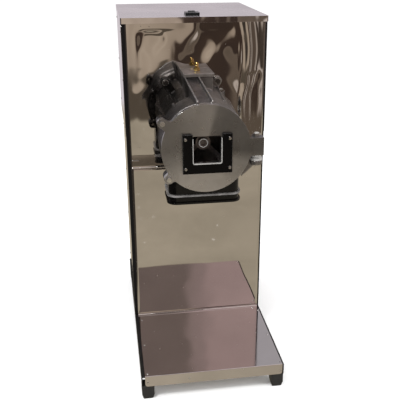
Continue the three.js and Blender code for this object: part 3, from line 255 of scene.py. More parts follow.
# A mask that is 1 along an edge, where paint thins and metal is rubbed bright
def makeEdgeRub():
    group, given, result = newGroup("edgeRub", {"Radius": 0.001, "Amount": 1}, "Mask")
    rounded = addNode(group, "ShaderNodeBevel", {"Radius": given["Radius"]}, samples=4).outputs["Normal"]
    plain = addNode(group, "ShaderNodeNewGeometry").outputs["Normal"]
    match = addNode(group, "ShaderNodeVectorMath", {0: rounded, 1: plain}, operation="DOT_PRODUCT")
    edge = remapped(group, match.outputs["Value"], 0.99, 0.86)
    uneven = remapped(group, clouds(group, given["Vector"], Scale=90, Detail=3), 0.35, 0.6, base=0.25)
    both = calculated(group, "MULTIPLY", edge, uneven)
    wire(group, calculated(group, "MULTIPLY", both, given["Amount"]), result)
    return group


# Flour and dust that settle on faces that look up
def makeSettledDust():
    group, given, result = newGroup("settledDust", {"Amount": 0.5}, "Mask")
    normal = addNode(group, "ShaderNodeNewGeometry").outputs["Normal"]
    level = remapped(group, separated(group, normal)["Z"], 0.4, 1)
    cloud = clouds(group, given["Vector"], Scale=140, Detail=6, Roughness=0.7)
    both = calculated(group, "MULTIPLY", level, remapped(group, cloud, 0.4, 0.75))
    wire(group, calculated(group, "MULTIPLY", both, given["Amount"]), result)
    return group


# Small bright specks and water spots on polished sheet
def makeSpecks():
    group, given, result = newGroup("specks", {"Scale": 30, "Size": 0.06}, "Mask")
    bend = clouds(group, given["Vector"], "Color", Scale=60, Detail=3)
    lean = addNode(group, "ShaderNodeVectorMath", {0: bend, 1: (0.006, 0.006, 0.006)}, operation="MULTIPLY")
    moved = addNode(group, "ShaderNodeVectorMath", {0: given["Vector"], 1: lean.outputs[0]}, operation="ADD")
    cells = addNode(group, "ShaderNodeTexVoronoi", {"Vector": moved.outputs[0], "Scale": given["Scale"]})
    draw = addNode(group, "ShaderNodeSeparateColor", {0: cells.outputs["Color"]}).outputs[0]
    keep = calculated(group, "GREATER_THAN", draw, 0.62)
    inside = calculated(group, "LESS_THAN", cells.outputs["Distance"], given["Size"])
    wire(group, calculated(group, "MULTIPLY", keep, inside), result)
    return group


patches = makePatches()
castGrain = makeCastGrain()
edgeRub = makeEdgeRub()
settledDust = makeSettledDust()
specks = makeSpecks()


def newMaterial(name, colour, metallic, roughness, **constants):
    material = bpy.data.materials.new(name)
    material.use_nodes = True
    tree = material.node_tree
    shader = tree.nodes["Principled BSDF"]
    shader.inputs["Base Color"].default_value = (*colour, 1)
    shader.inputs["Metallic"].default_value = metallic
    shader.inputs["Roughness"].default_value = roughness
    for label, value in constants.items():
        shader.inputs[label.replace("_", " ")].default_value = value
    return material, tree, shader.inputs, addNode(tree, "ShaderNodeTexCoord").outputs["Object"]


def use(tree, group, vector, **values):  # the number that a group gives
    return addNode(tree, "ShaderNodeGroup", {"Vector": vector, **values}, node_tree=group).outputs[0]


def blendColours(tree, mask, first, second, blend="MIX"):  # each colour is a socket or three numbers
    first, second = [(*colour, 1) if isinstance(colour, tuple) else colour for colour in (first, second)]
    values = {"Factor": mask, 6: first, 7: second}
    return addNode(tree, "ShaderNodeMix", values, data_type="RGBA", blend_type=blend).outputs[2]


def roughen(tree, shader, vector, scale, low, high):
    wire(tree, use(tree, patches, vector, Scale=scale, Low=low, High=high), shader["Roughness"])


def bumpFrom(tree, shader, height, strength, distance):
    bump = addNode(tree, "ShaderNodeBump", {"Strength": strength, "Distance": distance, "Height": height})
    wire(tree, bump.outputs["Normal"], shader["Normal"])


def turnedAbout(tree, vector, centre, stretch=(1, 1, 1)):
    values = {"Vector": vector, "Location": [-c * s for c, s in zip(centre, stretch)], "Scale": stretch}
    return addNode(tree, "ShaderNodeMapping", values).outputs["Vector"]


def addRamp(tree, fac, stops):  # a colour ramp from pairs of place and colour
    node = addNode(tree, "ShaderNodeValToRGB", {"Fac": fac})
    ramp = node.color_ramp
    while len(ramp.elements) < len(stops):
        ramp.elements.new(0.5)
    for element, (place, colour) in zip(ramp.elements, stops):
        element.position = place
        element.color = (*colour, 1)
    return node.outputs["Color"]


def makeMirror(name, colour, low, high, wave, pitch=7):
    material, tree, shader, vector = newMaterial(name, colour, 1, low)
    smudge = use(tree, patches, vector, Scale=7, Low=low, High=high)
    spots = use(tree, specks, vector, Scale=42, Size=0.07)
    rough = addNode(tree, "ShaderNodeMath", {0: spots, 1: 0.25, 2: smudge}, operation="MULTIPLY_ADD")
    wire(tree, rough.outputs[0], shader["Roughness"])
    film = use(tree, patches, vector, Scale=3)
    wire(tree, blendColours(tree, film, colour, tuple(c * 0.9 for c in colour)), shader["Base Color"])
    bumpFrom(tree, shader, clouds(tree, vector, Scale=pitch, Detail=1), 1, wave)
    return material


def makePaint(name, colour, low, high, bare, rub):
    material, tree, shader, vector = newMaterial(name, colour, 0, low, Coat_Weight=0.02, Coat_Roughness=0.1,
                                                 Specular_IOR_Level=0.07)
    roughen(tree, shader, vector, 25, low, high)
    worn = use(tree, edgeRub, vector, Radius=0.0012, Amount=rub)
    dust = use(tree, settledDust, vector, Amount=0.03)
    painted = blendColours(tree, dust, colour, (0.35, 0.32, 0.28))
    wire(tree, blendColours(tree, worn, painted, bare), shader["Base Color"])
    bumpFrom(tree, shader, use(tree, patches, vector, Scale=260), 0.35, 0.0002)
    return material


def makeCasting(name, dark, light, edge, roughness, paintedShading=None):
    material, tree, shader, vector = newMaterial(name, dark, 0.9, roughness)
    body = blendColours(tree, use(tree, patches, vector, Scale=16), dark, light)
    # Convex edges and rib crowns are painted in the edge colour as a highlight
    crownHighlight = remapped(tree, addNode(tree, "ShaderNodeNewGeometry").outputs["Pointiness"], 0.515, 0.57, True)
    skin = blendColours(tree, crownHighlight, body, edge)
    wire(tree, paintedShadeAndLight(tree, vector, skin, paintedShading) if paintedShading else skin, shader["Base Color"])
    roughen(tree, shader, vector, 60, roughness - 0.08, roughness + 0.1)
    bumpFrom(tree, shader, use(tree, castGrain, vector, Scale=520, Pits=0.7), 0.7, 0.0006)
    return material


# Painted shade darkens the left of the casting and the recess behind its front drum; painted light brightens
# its right side.
def paintedShadeAndLight(tree, vector, skin, paintedShading):
    sides, soft, side, lift = separated(tree, vector), paintedShading["soft"], paintedShading["side"], paintedShading["lift"]
    # Painted shade: left of the hood's wall and behind the drum, and all over the far left flank
    left = remapped(tree, sides["X"], paintedShading["edge"].x + soft, paintedShading["edge"].x - soft)
    behind = remapped(tree, sides["Y"], paintedShading["edge"].y - soft, paintedShading["edge"].y + soft)
    outer = remapped(tree, sides["X"], *side)
    most = calculated(tree, "MAXIMUM", calculated(tree, "MULTIPLY", left, behind), outer)
    # Painted light on the casting's right side
    paintedLight = calculated(tree, "MULTIPLY", remapped(tree, sides["X"], *lift), paintedShading["liftShare"])
    litSkin = blendColours(tree, paintedLight, skin, paintedShading["litColour"])
    return blendColours(tree, calculated(tree, "MULTIPLY", most, paintedShading["share"]), litSkin, paintedShading["colour"])


def makeBareMetal(name, colour, low, high, stretch=(1, 1, 1), lines=400, metallic=1):
    material, tree, shader, vector = newMaterial(name, colour, metallic, low)
    roughen(tree, shader, vector, 30, low, high)
    shade = use(tree, patches, vector, Scale=55)
    wire(tree, blendColours(tree, shade, colour, tuple(c * 0.72 for c in colour)), shader["Base Color"])
    drawn = use(tree, patches, turnedAbout(tree, vector, (0, 0, 0), stretch), Scale=lines)
    bumpFrom(tree, shader, drawn, 0.3, 0.0002)
    return material


def grey(value):
    return (value, value, value * 1.02)


# Painted reflection sectors, from the left round by the bottom, the right and the top to the left again
paintedReflectionSectors = [
    (0.0, grey(0.42)), (0.06, grey(0.46)), (0.13, grey(0.72)), (0.25, grey(0.78)), (0.37, grey(0.62)),
    (0.44, grey(0.5)), (0.49, grey(0.24)), (0.56, grey(0.3)), (0.66, grey(0.29)), (0.7, grey(0.34)),
    (0.73, grey(0.64)), (0.78, grey(0.62)), (0.86, grey(0.5)), (1.0, grey(0.42)),
]


# Rings left by the lathe, centred on the mill's axis, with painted bright and dark sectors of reflection
def makeTurnedFace(name, colour, dark, low, high, centre):
    material, tree, shader, vector = newMaterial(name, colour, 1, low, Anisotropic=0.5)
    centred = turnedAbout(tree, vector, centre)
    values = {"Vector": centred, "Scale": 330, "Distortion": 0.5, "Detail": 2}
    rings = addNode(tree, "ShaderNodeTexWave", values, wave_type="RINGS", rings_direction="Y")
    worn = use(tree, edgeRub, vector, Radius=0.0012, Amount=0.8)
    body = blendColours(tree, use(tree, patches, vector, Scale=11), colour, dark)
    sides = separated(tree, centred)
    angle = calculated(tree, "ARCTAN2", sides["Z"], sides["X"])
    paintedSectors = addRamp(tree, remapped(tree, angle, -math.pi, math.pi), paintedReflectionSectors)
    sheen = blendColours(tree, 1, body, paintedSectors, "MULTIPLY")
    wire(tree, blendColours(tree, worn, sheen, (0.85, 0.84, 0.82)), shader["Base Color"])
    roughen(tree, shader, vector, 40, low, high)
    bumpFrom(tree, shader, rings.outputs["Fac"], 0.35, 0.00015)
    return material


# Black enamel with a painted highlight along its upper lip, where the bag is tied
def makeSpoutEnamel(name, colour, bare, low, high):
    material, tree, shader, vector = newMaterial(name, colour, 0, 0.15, Coat_Weight=0.3, Coat_Roughness=0.08,
                                                 Specular_IOR_Level=0.14)
    height = separated(tree, vector)["Z"]
    above = remapped(tree, height, low, low + mm)
    below = remapped(tree, height, high + mm, high)
    worn = use(tree, patches, vector, Scale=30, Low=0.45)
    # The mask paints a patchy highlight band on the upper lip
    mask = calculated(tree, "MULTIPLY", calculated(tree, "MULTIPLY", above, below), worn)
    wire(tree, blendColours(tree, mask, colour, bare), shader["Base Color"])
    roughen(tree, shader, vector, 25, 0.12, 0.26)
    return material


def makeRubber(name, colour, roughness):
    material, tree, shader, vector = newMaterial(name, colour, 0, roughness)
    dust = use(tree, settledDust, vector, Amount=0.35)
    wire(tree, blendColours(tree, dust, colour, (0.25, 0.23, 0.2)), shader["Base Color"])
    roughen(tree, shader, vector, 45, roughness - 0.12, roughness + 0.08)
    bumpFrom(tree, shader, use(tree, castGrain, vector, Scale=900, Pits=0.2), 0.35, 0.0003)
    return material


mill = {"x": -13.5, "z": 728, "face": -300}
spout = {"lipLow": 595.5, "lipHigh": 601, "drop": 7}
enamelBlack = (0.002, 0.0018, 0.0017)
lipHighlightBand = [(spout[key] - spout["drop"]) * mm for key in ("lipLow", "lipHigh")]
# Painted shade on the casting's left and in its recess, and painted light on its right side
castingPaintedShade = {
    "edge": at(-43, -172, 0), "soft": 0.004, "share": 0.92, "colour": (0.008, 0.007, 0.006),
    "side": (-0.074, -0.102), "lift": (-0.006, 0.024), "liftShare": 0.6, "litColour": (0.3, 0.28, 0.265),
}

mirrorSheet = makeMirror("mirrorSheet", (0.68, 0.65, 0.62), 0.02, 0.055, 0.00012)
shelfSheet = makeMirror("shelfSheet", (0.74, 0.71, 0.7), 0.03, 0.09, 0.0001)
lidSheet = makeMirror("lidSheet", (0.80, 0.76, 0.78), 0.2, 0.32, 0.00005)
lidEdge = makeMirror("lidEdge", (0.78, 0.75, 0.75), 0.03, 0.08, 0.0012, 16)
blackEnamel = makePaint("blackEnamel", enamelBlack, 0.12, 0.26, (0.3, 0.29, 0.28), 0.35)
framePaint = makePaint("framePaint", (0.006, 0.0055, 0.0055), 0.28, 0.45, (0.07, 0.06, 0.05), 0.4)
castAluminium = makeCasting("castAluminium", (0.06, 0.055, 0.053), (0.16, 0.15, 0.145), (0.42, 0.4, 0.385),
                            0.36, castingPaintedShade)
turnedFace = makeTurnedFace("turnedFace", (1, 1, 1), (0.8, 0.79, 0.78), 0.26, 0.38,
                            at(mill["x"], mill["face"], mill["z"]))
turnedPlate = makeBareMetal("turnedPlate", (0.42, 0.4, 0.385), 0.3, 0.42, (1, 0.1, 1), 500, 0.95)
machinedSteel = makeBareMetal("machinedSteel", (0.56, 0.55, 0.54), 0.22, 0.38)
zincSteel = makeBareMetal("zincSteel", (0.72, 0.71, 0.69), 0.16, 0.3)
blackSteel = makeBareMetal("blackSteel", (0.13, 0.12, 0.115), 0.25, 0.4)
linerMetal = makeBareMetal("linerMetal", (0.46, 0.45, 0.43), 0.25, 0.35, metallic=0.3)
brightEdge = makeBareMetal("brightEdge", (0.85, 0.84, 0.82), 0.25, 0.35, metallic=0.3)
wornSteel = makeBareMetal("wornSteel", (0.24, 0.215, 0.21), 0.35, 0.5)
spoutEnamel = makeSpoutEnamel("spoutEnamel", enamelBlack, (0.2, 0.19, 0.185), *lipHighlightBand)
castIron = makeCasting("castIron", (0.05, 0.055, 0.058), (0.09, 0.095, 0.1), (0.3, 0.3, 0.3), 0.5)
motorEnamel = makePaint("motorEnamel", (0.06, 0.085, 0.11), 0.35, 0.5, (0.3, 0.3, 0.3), 0.4)
brassMetal = makeBareMetal("brassMetal", (0.78, 0.55, 0.2), 0.14, 0.3)
rubberMat = makeRubber("rubberMat", (0.012, 0.012, 0.012), 0.62)
beltRubber = makeRubber("beltRubber", (0.016, 0.015, 0.014), 0.72)
blackPlastic = makePaint("blackPlastic", (0.008, 0.008, 0.008), 0.2, 0.3, (0.02, 0.02, 0.02), 0.2)
print("materials made")


# Buckles in thin polished sheet, in millimetres: broad swells, with tighter dents where they are asked for
def buckle(u, v, broad, tight):
    swell = noise.noise(Vector((u / 130, v / 150, 1.7)))
    ripple = noise.noise(Vector((u / 60 + 3.1, v / 85, 4.2)))
    return broad * swell + tight * ripple


def edgeFade(value, low, high, reach):
    share = min(value - low, high - value) / reach
    share = min(max(share, 0), 1)
    return share * share * (3 - 2 * share)


# A flat sheet as a fine grid in the plane of its two long sides, buckled between its edges
def wavySheet(node, name, material, broad, tight, cell=8, reach=40):
    low, high = (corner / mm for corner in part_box(node))
    size = high - low
    thin = min(range(3), key=lambda i: size[i])
    wide, tall = [i for i in range(3) if i != thin]
    outside = -1 if (low + high)[thin] < 0 or node.startswith("front") else 1
    bm = bmesh.new()
    columns, rows = round(size[wide] / cell), round(size[tall] / cell)
    bmesh.ops.create_grid(bm, x_segments=columns, y_segments=rows, size=0.5)
    for vert in bm.verts:
        place = Vector((0, 0, 0))
        place[wide] = (low[wide] + high[wide]) / 2 + vert.co.x * size[wide]
        place[tall] = (low[tall] + high[tall]) / 2 + vert.co.y * size[tall]
        fade = edgeFade(place[wide], low[wide], high[wide], reach)
        fade *= edgeFade(place[tall], low[tall], high[tall], reach)
        face = low[thin] if outside < 0 else high[thin]
        place[thin] = face - outside * abs(buckle(place[wide], place[tall], broad, tight)) * fade
        vert.co = place * mm
    away = Vector((0, 0, 0))
    away[thin] = outside
    faceOutward(bm, away)
    piece = addPiece(bm, name, bodyOf(node), [material], [node], angle=180, flatFaces=False)
    thicken(piece, size[thin] * mm)


upperSheet = {
    "cell": 4, "left": -197.5, "right": 202.5, "bottom": 585, "top": 1021.7, "crease": 628, "railFoot": 993,
    "slitLow": 610.5, "slitHigh": 612.5, "slitEnd": -172.5, "hem": 2.6, "return": 3, "bead": 1.8,
    "beadTop": 590, "broad": 2.6, "tight": 0.8, "hole": 60, "roll": 0.9, "rollFrom": 128, "rollPitch": 46,
    "sway": 9, "swayPitch": 53, "warp": 26, "warpPitch": 52, "warpSeed": 11.9, "flatTo": 150,
    "flatReach": 60, "sideFade": 46, "topFade": 40, "clear": 26, "freeSide": 34, "freeTop": 24,
    "least": 0.3, "most": 2.9,
    "dents": [(2, 925, 62, 2.4), (-130, 965, 50, 1.3), (-168, 850, 55, 1.5), (178, 850, 34, 1.8),
              (110, 800, 60, 1.6), (60, 965, 70, 1.5), (-160, 700, 46, 1.2)],
}


# How far the upper front sheet is pushed in at a place, in millimetres
def sheetDepth(x, z):
    s = upperSheet
    fade = edgeFade(x, s["left"], s["right"], s["sideFade"])
    fade *= edgeFade(z, s["crease"], s["top"] + 20, s["topFade"])
    fromMill = math.hypot(x - mill["x"], z - mill["z"])
    depth = buckle(x, z, s["broad"], s["tight"])
    pitch, warp, seed = s["warpPitch"], s["warp"], s["warpSeed"]
    bendX = noise.noise(Vector((x / pitch, z / pitch, seed))) * warp
    bendZ = noise.noise(Vector((x / pitch + 7.7, z / pitch, seed + 4.4))) * warp
    for centreX, centreZ, radius, deep in s["dents"]:
        near = ((x + bendX - centreX) ** 2 + (z + bendZ - centreZ) ** 2) / radius ** 2
        if near < 1:
            depth += deep * (1 - near) ** 2
    # The mounting plate keeps the sheet flat near the mill.
    depth *= edgeFade(min(fromMill, 2 * s["flatTo"]), s["flatTo"], 4 * s["flatTo"], s["flatReach"])
    if x > s["rollFrom"]:
        along = x - s["rollFrom"] + s["sway"] * math.sin(z / s["swayPitch"])
        depth -= s["roll"] * (1 - math.cos(math.tau * along / s["rollPitch"]))
    depth *= fade
    if z < s["crease"]:
        depth = -s["hem"] * (s["crease"] - z) / (s["crease"] - s["bottom"])
    if z < s["beadTop"]:
        depth -= s["bead"] * math.sin(math.pi * (z - s["bottom"]) / (s["beadTop"] - s["bottom"]))
    free = edgeFade(x, s["left"] + s["clear"], s["right"] - s["clear"], s["freeSide"])
    free *= edgeFade(z, s["bottom"], s["railFoot"], s["freeTop"])
    limit = s["least"] + s["most"] * free
    return limit * math.tanh(depth / limit) if depth > 0 else depth


# The upper front sheet: dented by its mounts, creased above its hem, and slit at the lower left
def buildUpperSheet():
    s = upperSheet
    width, height = s["right"] - s["left"], s["top"] - s["bottom"]
    middle = at((s["left"] + s["right"]) / 2, 0, (s["bottom"] + s["top"]) / 2)
    bm = bmesh.new()
    standing = Matrix.Translation(middle) @ Matrix.Rotation(math.radians(90), 4, "X")
    bmesh.ops.create_grid(bm, x_segments=round(width / s["cell"]), y_segments=round(height / s["cell"]),
                          size=0.5, matrix=standing @ Matrix.Diagonal((width * mm, height * mm, 1, 1)))
    beadLines = [s["bottom"] + step * (s["beadTop"] - s["bottom"]) / 6 for step in range(1, 7)]
    for level in (s["crease"], s["slitLow"], s["slitHigh"], *beadLines):
        bmesh.ops.bisect_plane(bm, geom=bm.verts[:] + bm.edges[:] + bm.faces[:], dist=1e-6,
                               plane_co=at(0, 0, level), plane_no=upward)
    bmesh.ops.bisect_plane(bm, geom=bm.verts[:] + bm.edges[:] + bm.faces[:], dist=1e-6,
                           plane_co=at(s["slitEnd"], 0, 0), plane_no=across)
    gone = []
    for face in bm.faces:
        centre = face.calc_center_median() / mm
        inSlit = centre.x < s["slitEnd"] and s["slitLow"] < centre.z < s["slitHigh"]
        inHole = math.hypot(centre.x - mill["x"], centre.z - mill["z"]) < s["hole"]
        if inSlit or inHole:
            gone.append(face)
    bmesh.ops.delete(bm, geom=gone, context="FACES")
    for vert in bm.verts:
        vert.co.y += sheetDepth(vert.co.x / mm, vert.co.z / mm) * mm
    low = (s["bottom"] + 0.1) * mm
    foot = [e for e in bm.edges if e.is_boundary and all(v.co.z < low for v in e.verts)]
    slide(bm, bmesh.ops.extrude_edge_only(bm, edges=foot), (0, s["return"], 0))
    faceOutward(bm, forward)
    piece = addPiece(bm, "upperSheet", "cabinet", [mirrorSheet], ["front_upper_panel"],
                     angle=50, flatFaces=False)
    thicken(piece, mm)


lid = {"bevel": 0.5}


def buildLid():
    bm = meshOf("top_lid")
    bevelEdges(bm, sharpEdges(bm, 30), lid["bevel"], 3)
    for face in bm.faces:
        face.material_index = 0 if face.normal.z > 0.6 else 1
    addPiece(bm, "topLid", "lid", [lidSheet, lidEdge], ["top_lid"])


shelf = {"left": -197.5, "right": 202.5, "front": -341, "top": 79, "drop": 34, "lip": 7, "gap": -0.3,
         "fold": 2.2, "corner": 8}


# The shelf's sheet: a short lip against the front sheet, the tread, a rounded fold, and the fascia
def buildShelf():
    s = shelf
    bm = bmesh.new()
    profile = [(s["gap"], s["top"] + s["lip"]), (s["gap"], s["top"]), (s["front"], s["top"]),
               (s["front"], s["top"] - s["drop"])]
    left = [bm.verts.new(at(s["left"], y, z)) for y, z in profile]
    edges = [bm.edges.new(pair) for pair in zip(left, left[1:])]
    slide(bm, bmesh.ops.extrude_edge_only(bm, edges=edges), (s["right"] - s["left"], 0, 0))
    bmesh.ops.recalc_face_normals(bm, faces=bm.faces)
    tread = max(bm.faces, key=lambda face: face.calc_area())
    if tread.normal.z < 0:
        bmesh.ops.reverse_faces(bm, faces=bm.faces)
    bm.verts.ensure_lookup_table()
    lowest = min(v.co.z for v in bm.verts)
    corners = [v for v in bm.verts if v.co.z < lowest + 1e-5]
    bmesh.ops.bevel(bm, geom=corners, offset=s["corner"] * mm, segments=6, profile=0.5,
                    affect="VERTICES", material=-1)
    bevelEdges(bm, sharpEdges(bm, 45), s["fold"], 5)
    piece = addPiece(bm, "shelfTray", "cabinet", [shelfSheet], ["shelf_tray"],
                     flatFaces=False)
    thicken(piece, mm)
    keepFacesFlat(piece)


def buildSheets():
    buildUpperSheet()
    wavySheet("front_lower_panel", "lowerSheet", mirrorSheet, 0.35, 0.1)
    wavySheet("left_side_panel", "leftSideSheet", mirrorSheet, 0.5, 0.15, cell=12)
    wavySheet("right_side_panel", "rightSideSheet", mirrorSheet, 0.5, 0.15, cell=12)
    wavySheet("left_upper_cover", "leftUpperCover", mirrorSheet, 0.35, 0.1, cell=12)
    wavySheet("right_upper_cover", "rightUpperCover", mirrorSheet, 0.35, 0.1, cell=12)
    softened("rear_panel", "rearSheet", mirrorSheet, 0.3)
    buildLid()
    buildShelf()
    print("sheets made")


framePieces = {"edge": 0.7, "footEdge": 1.6}


def buildFrame():
    for node in nodes:
        if node.startswith(("post_", "top_rail", "base_rail")):
            softened(node, "painted_" + node, framePaint, framePieces["edge"])
        elif node.startswith("foot_"):
            softened(node, "rubber_" + node, rubberMat, framePieces["footEdge"], 3)
    print("frame made")


casting = {"voxel": 2.2, "smooth": 0.4, "passes": 1, "keep": 0.6}
recess = {"front": -174, "back": 132, "blend": 4, "from": 101, "to": 240, "turn": 4, "inner": 70,
          "outer": 132, "reach": 10, "depth": 17}


# The left side of the casting is drawn in behind its front drum, as far as the hood's left wall.
def drawInRecess(bm):
    r = recess
    for vert in bm.verts:
        x, z = vert.co.x / mm - mill["x"], vert.co.z / mm - mill["z"]
        radius = math.hypot(x, z)
        turn = math.degrees(math.atan2(z, x)) % 360
        share = edgeFade((vert.co.y - sheetFace) / mm, r["front"], r["back"], r["blend"])
        share *= edgeFade(turn, r["from"], r["to"], r["turn"])
        share *= edgeFade(radius, r["inner"], r["outer"], r["reach"])
        vert.co -= Vector((x, 0, z)) / radius * r["depth"] * share * mm


# The casting's edges and inside corners are rounded all over by remeshing its solid
def buildCasting():
    bm = meshOf("chamber_body")
    mesh = bpy.data.meshes.new("castingSource")
    bm.to_mesh(mesh)
    bm.free()
    source = bpy.data.objects.new("castingSource", mesh)
    bpy.context.scene.collection.objects.link(source)
    remesh = source.modifiers.new("skin", "REMESH")
    remesh.mode = "VOXEL"
    remesh.voxel_size = casting["voxel"] * mm
    soften = source.modifiers.new("soften", "SMOOTH")
    soften.factor = casting["smooth"]
    soften.iterations = casting["passes"]
    thin = source.modifiers.new("thin", "DECIMATE")
    thin.ratio = casting["keep"]
    evaluated = source.evaluated_get(bpy.context.evaluated_depsgraph_get())
    skin = bmesh.new()
    skin.from_mesh(evaluated.to_mesh())
    evaluated.to_mesh_clear()
    bpy.data.objects.remove(source)
    bpy.data.meshes.remove(mesh)
    drawInRecess(skin)
    addPiece(skin, "millCasting", "cabinet", [castAluminium], ["chamber_body"], angle=60,
             flatFaces=False)


bracket = {
    "x": -11.5, "top": 769, "bottom": 665, "half": 64, "bar": 26, "flange": 13, "slot": 5, "lip": 2,
    "edge": 0.6, "screwRadius": 4.5, "screwHead": 2.6, "inset": 7,
}


def uShape(bm, bar, y0, y1):
    b = bracket
    left, right, top, bottom = b["x"] - b["half"], b["x"] + b["half"], b["top"], b["bottom"]
    outline = [(left, top), (left, bottom), (right, bottom), (right, top), (right - bar, top),
               (right - bar, bottom + bar), (left + bar, bottom + bar), (left + bar, top)]
    face = bm.faces.new([bm.verts.new(at(u, y0, v)) for u, v in outline])
    slide(bm, bmesh.ops.extrude_face_region(bm, geom=[face]), (0, y1 - y0, 0))


def buildBracket():
    b = bracket
    back = mill["face"] - 0.3
    face = back - b["slot"] - b["lip"]
    parts = [("bracketFlange", b["flange"], face + b["lip"], back, ()),
             ("bracketLip", b["bar"], face, face + b["lip"], ["hopper_bracket"])]
    for name, bar, y0, y1, stands in parts:
        bm = bmesh.new()
        uShape(bm, bar, y0, y1)
        bmesh.ops.recalc_face_normals(bm, faces=bm.faces)
        bevelEdges(bm, sharpEdges(bm, 30), b["edge"], 2)
        addPiece(bm, name, "door", [blackEnamel], stands)
    r, h = b["screwRadius"], b["screwHead"]
    head = spun([(0, h), (0.34 * r, h), (0.34 * r, h - 0.9), (0.45 * r, h - 0.9), (0.52 * r, h),
                 (0.8 * r, h * 0.85), (r, h * 0.35), (r, 0), (0, 0)], 20)
    places = []
    for x in (b["x"] - b["half"] + b["inset"], b["x"] + b["half"] - b["inset"]):
        for z in (b["bottom"] + 2 * b["inset"], b["top"] - 2 * b["inset"] + 2):
            places.append((at(x, face, z), forward))
    fasteners("bracketScrews", "door", zincSteel, head, places)


feedRim = {"x": -12, "z": 726.5, "width": 76, "height": 73, "corner": 5, "wall": 1.5, "rise": 7.6,
           "gap": 0.05}


# The bright liner along the left, lower and right edges of the feed opening
def buildFeedRim():
    r = feedRim
    bm = bmesh.new()
    corners = [(-1, -1), (1, -1), (1, 1), (-1, 1)]
    face = bm.faces.new([bm.verts.new(at(r["x"] + u * r["width"] / 2, mill["face"] - r["rise"],
                                         r["z"] + v * r["height"] / 2)) for u, v in corners])
    bmesh.ops.bevel(bm, geom=list(face.verts), offset=r["corner"] * mm, segments=5, profile=0.5,
                    affect="VERTICES", material=-1)
    inner = bmesh.ops.inset_region(bm, faces=bm.faces[:], thickness=r["wall"] * mm, use_even_offset=True,
                                   use_boundary=True)
    top = r["z"] + r["height"] / 2 - r["corner"]
    ring = [f for f in inner["faces"] if f.calc_center_median().z / mm < top]
    bmesh.ops.delete(bm, geom=[f for f in bm.faces if f not in ring], context="FACES")
    slide(bm, bmesh.ops.extrude_face_region(bm, geom=bm.faces[:]), (0, r["rise"] - r["gap"], 0))
    bmesh.ops.recalc_face_normals(bm, faces=bm.faces)
    addPiece(bm, "feedRim", "door", [linerMetal])


nipple = {"x": -3.4, "y": -50, "base": 882.3, "width": 17, "height": 8.5}


def buildNipple():
    n = nipple
    bm = hexHead(n["width"], n["height"], 0.9)
    stem = spun([(1.8, 6), (1.8, 23), (3.6, 23), (5.4, 21.2), (6.3, 17.4), (6.3, 16.6), (5, 16.2),
                 (6.3, 13.2), (6.3, 12.4), (5, 12), (5, 9.5), (5.6, 8.6), (5.6, 6), (1.8, 6)], 28)
    placed(bm, stem, Matrix.Identity(4))
    stem.free()
    bmesh.ops.transform(bm, verts=bm.verts, matrix=Matrix.Translation(at(n["x"], n["y"], n["base"])))
    addPiece(bm, "hoseNipple", "cabinet", [brassMetal], ["hose_nipple"], angle=40)


# The spout, with its upper lip set lower than the solid has it
def buildSpout():
    piece = softened("outlet_spout", "outletSpout", spoutEnamel, 1.0, 3)
    for vert in piece.data.vertices:
        if spout["lipLow"] - 1 < vert.co.z / mm < spout["lipHigh"] + 1:
            vert.co.z -= spout["drop"] * mm


rings = {
    "screwFace": -243.35, "screwInner": 10, "screwOuter": 12, "screwRise": 0.8,
    "pinX": 121.5, "pinY": -276, "low": 687.3, "high": 704.6, "inner": 10.3, "top": 13, "foot": 16,
}


# The bright washer face on the rotor's screw, and the spacer between the hinge's ear and the door's knuckle
def buildRings():
    r = rings
    inner, outer, rise = r["screwInner"], r["screwOuter"], r["screwRise"]
    washer = spun([(inner, 0), (outer, 0), (outer, rise), (inner, rise), (inner, 0)], 32)
    fasteners("screwWasher", "mill_rotor", brightEdge, washer,
              [(at(mill["x"], r["screwFace"], mill["z"]), forward)])
    tall = r["high"] - r["low"]
    spacer = spun([(r["inner"], 0), (r["foot"], 0), (r["foot"], tall * 0.3), (r["top"], tall * 0.5),
                   (r["top"], tall), (r["inner"], tall), (r["inner"], 0)], 32)
    fasteners("hingeSpacer", "cabinet", linerMetal, spacer,
              [(at(r["pinX"], r["pinY"], r["low"]), upward)])


def buildChamber():
    buildCasting()
    softened("jacket_plate", "jacketPlate", turnedPlate, 1.1, 3)
    buildSpout()
    softened("mill_door", "millDoor", turnedFace, 1.1, 3)
    softened("hinge_pin", "hingePin", linerMetal, 0.5)
    softened("hinge_nut", "hingeNut", zincSteel, 0.7)
    softened("clamp_bolt_upper", "clampBoltUpper", zincSteel, 0.7)
    softened("clamp_bolt_lower", "clampBoltLower", zincSteel, 0.7)
    softened("rotor_screw", "rotorScrew", wornSteel, 0.5)
    buildBracket()
    buildFeedRim()
    buildNipple()
    buildRings()
    print("chamber made")


def buildSwitch():
    softened("switch_housing", "switchHousing", blackPlastic, 0.6, 3)
    softened("switch_rocker", "switchRocker", blackPlastic, 0.5, 3)
    softened("lid_hinge_lower_leaf", "hingeLeafLower", machinedSteel, 0.25)
    softened("lid_hinge_upper_leaf", "hingeLeafUpper", machinedSteel, 0.25)


def rivet(radius, height):
    return spun([(0, height), (radius * 0.45, height * 0.92), (radius * 0.8, height * 0.6),
                 (radius, height * 0.12), (radius, 0), (0, 0)], 14)


rivets = {
    "shelf": [(-187.5, -37), (-188.5, -182), (-189.5, -329), (184.5, -13), (197.5, -32), (196, -179),
              (198.5, -330)],
    "fascia": [(-189.5, 58), (-70.5, 59), (198.5, 56.5)],
    "wide": (3.2, 1.5), "narrow": (3, 1.3), "rearSides": (-190, 190),
    "rearHeights": [110, 320, 560, 780, 970],
    "sides": [("_side_panel", "SideRivets", (16, 411), [110, 280, 450, 620]),
              ("_upper_cover", "CoverRivets", (14, 404), [712, 850, 985])],
}
mountBolt = {"angles": (57, 123, 237, 303), "circle": 139, "y": -15, "bore": 5, "washer": 9.4, "thick": 1.6,
             "width": 14, "height": 6}


def addRivets(name, size, places):
    fasteners(name, "cabinet", zincSteel, rivet(*size), places)


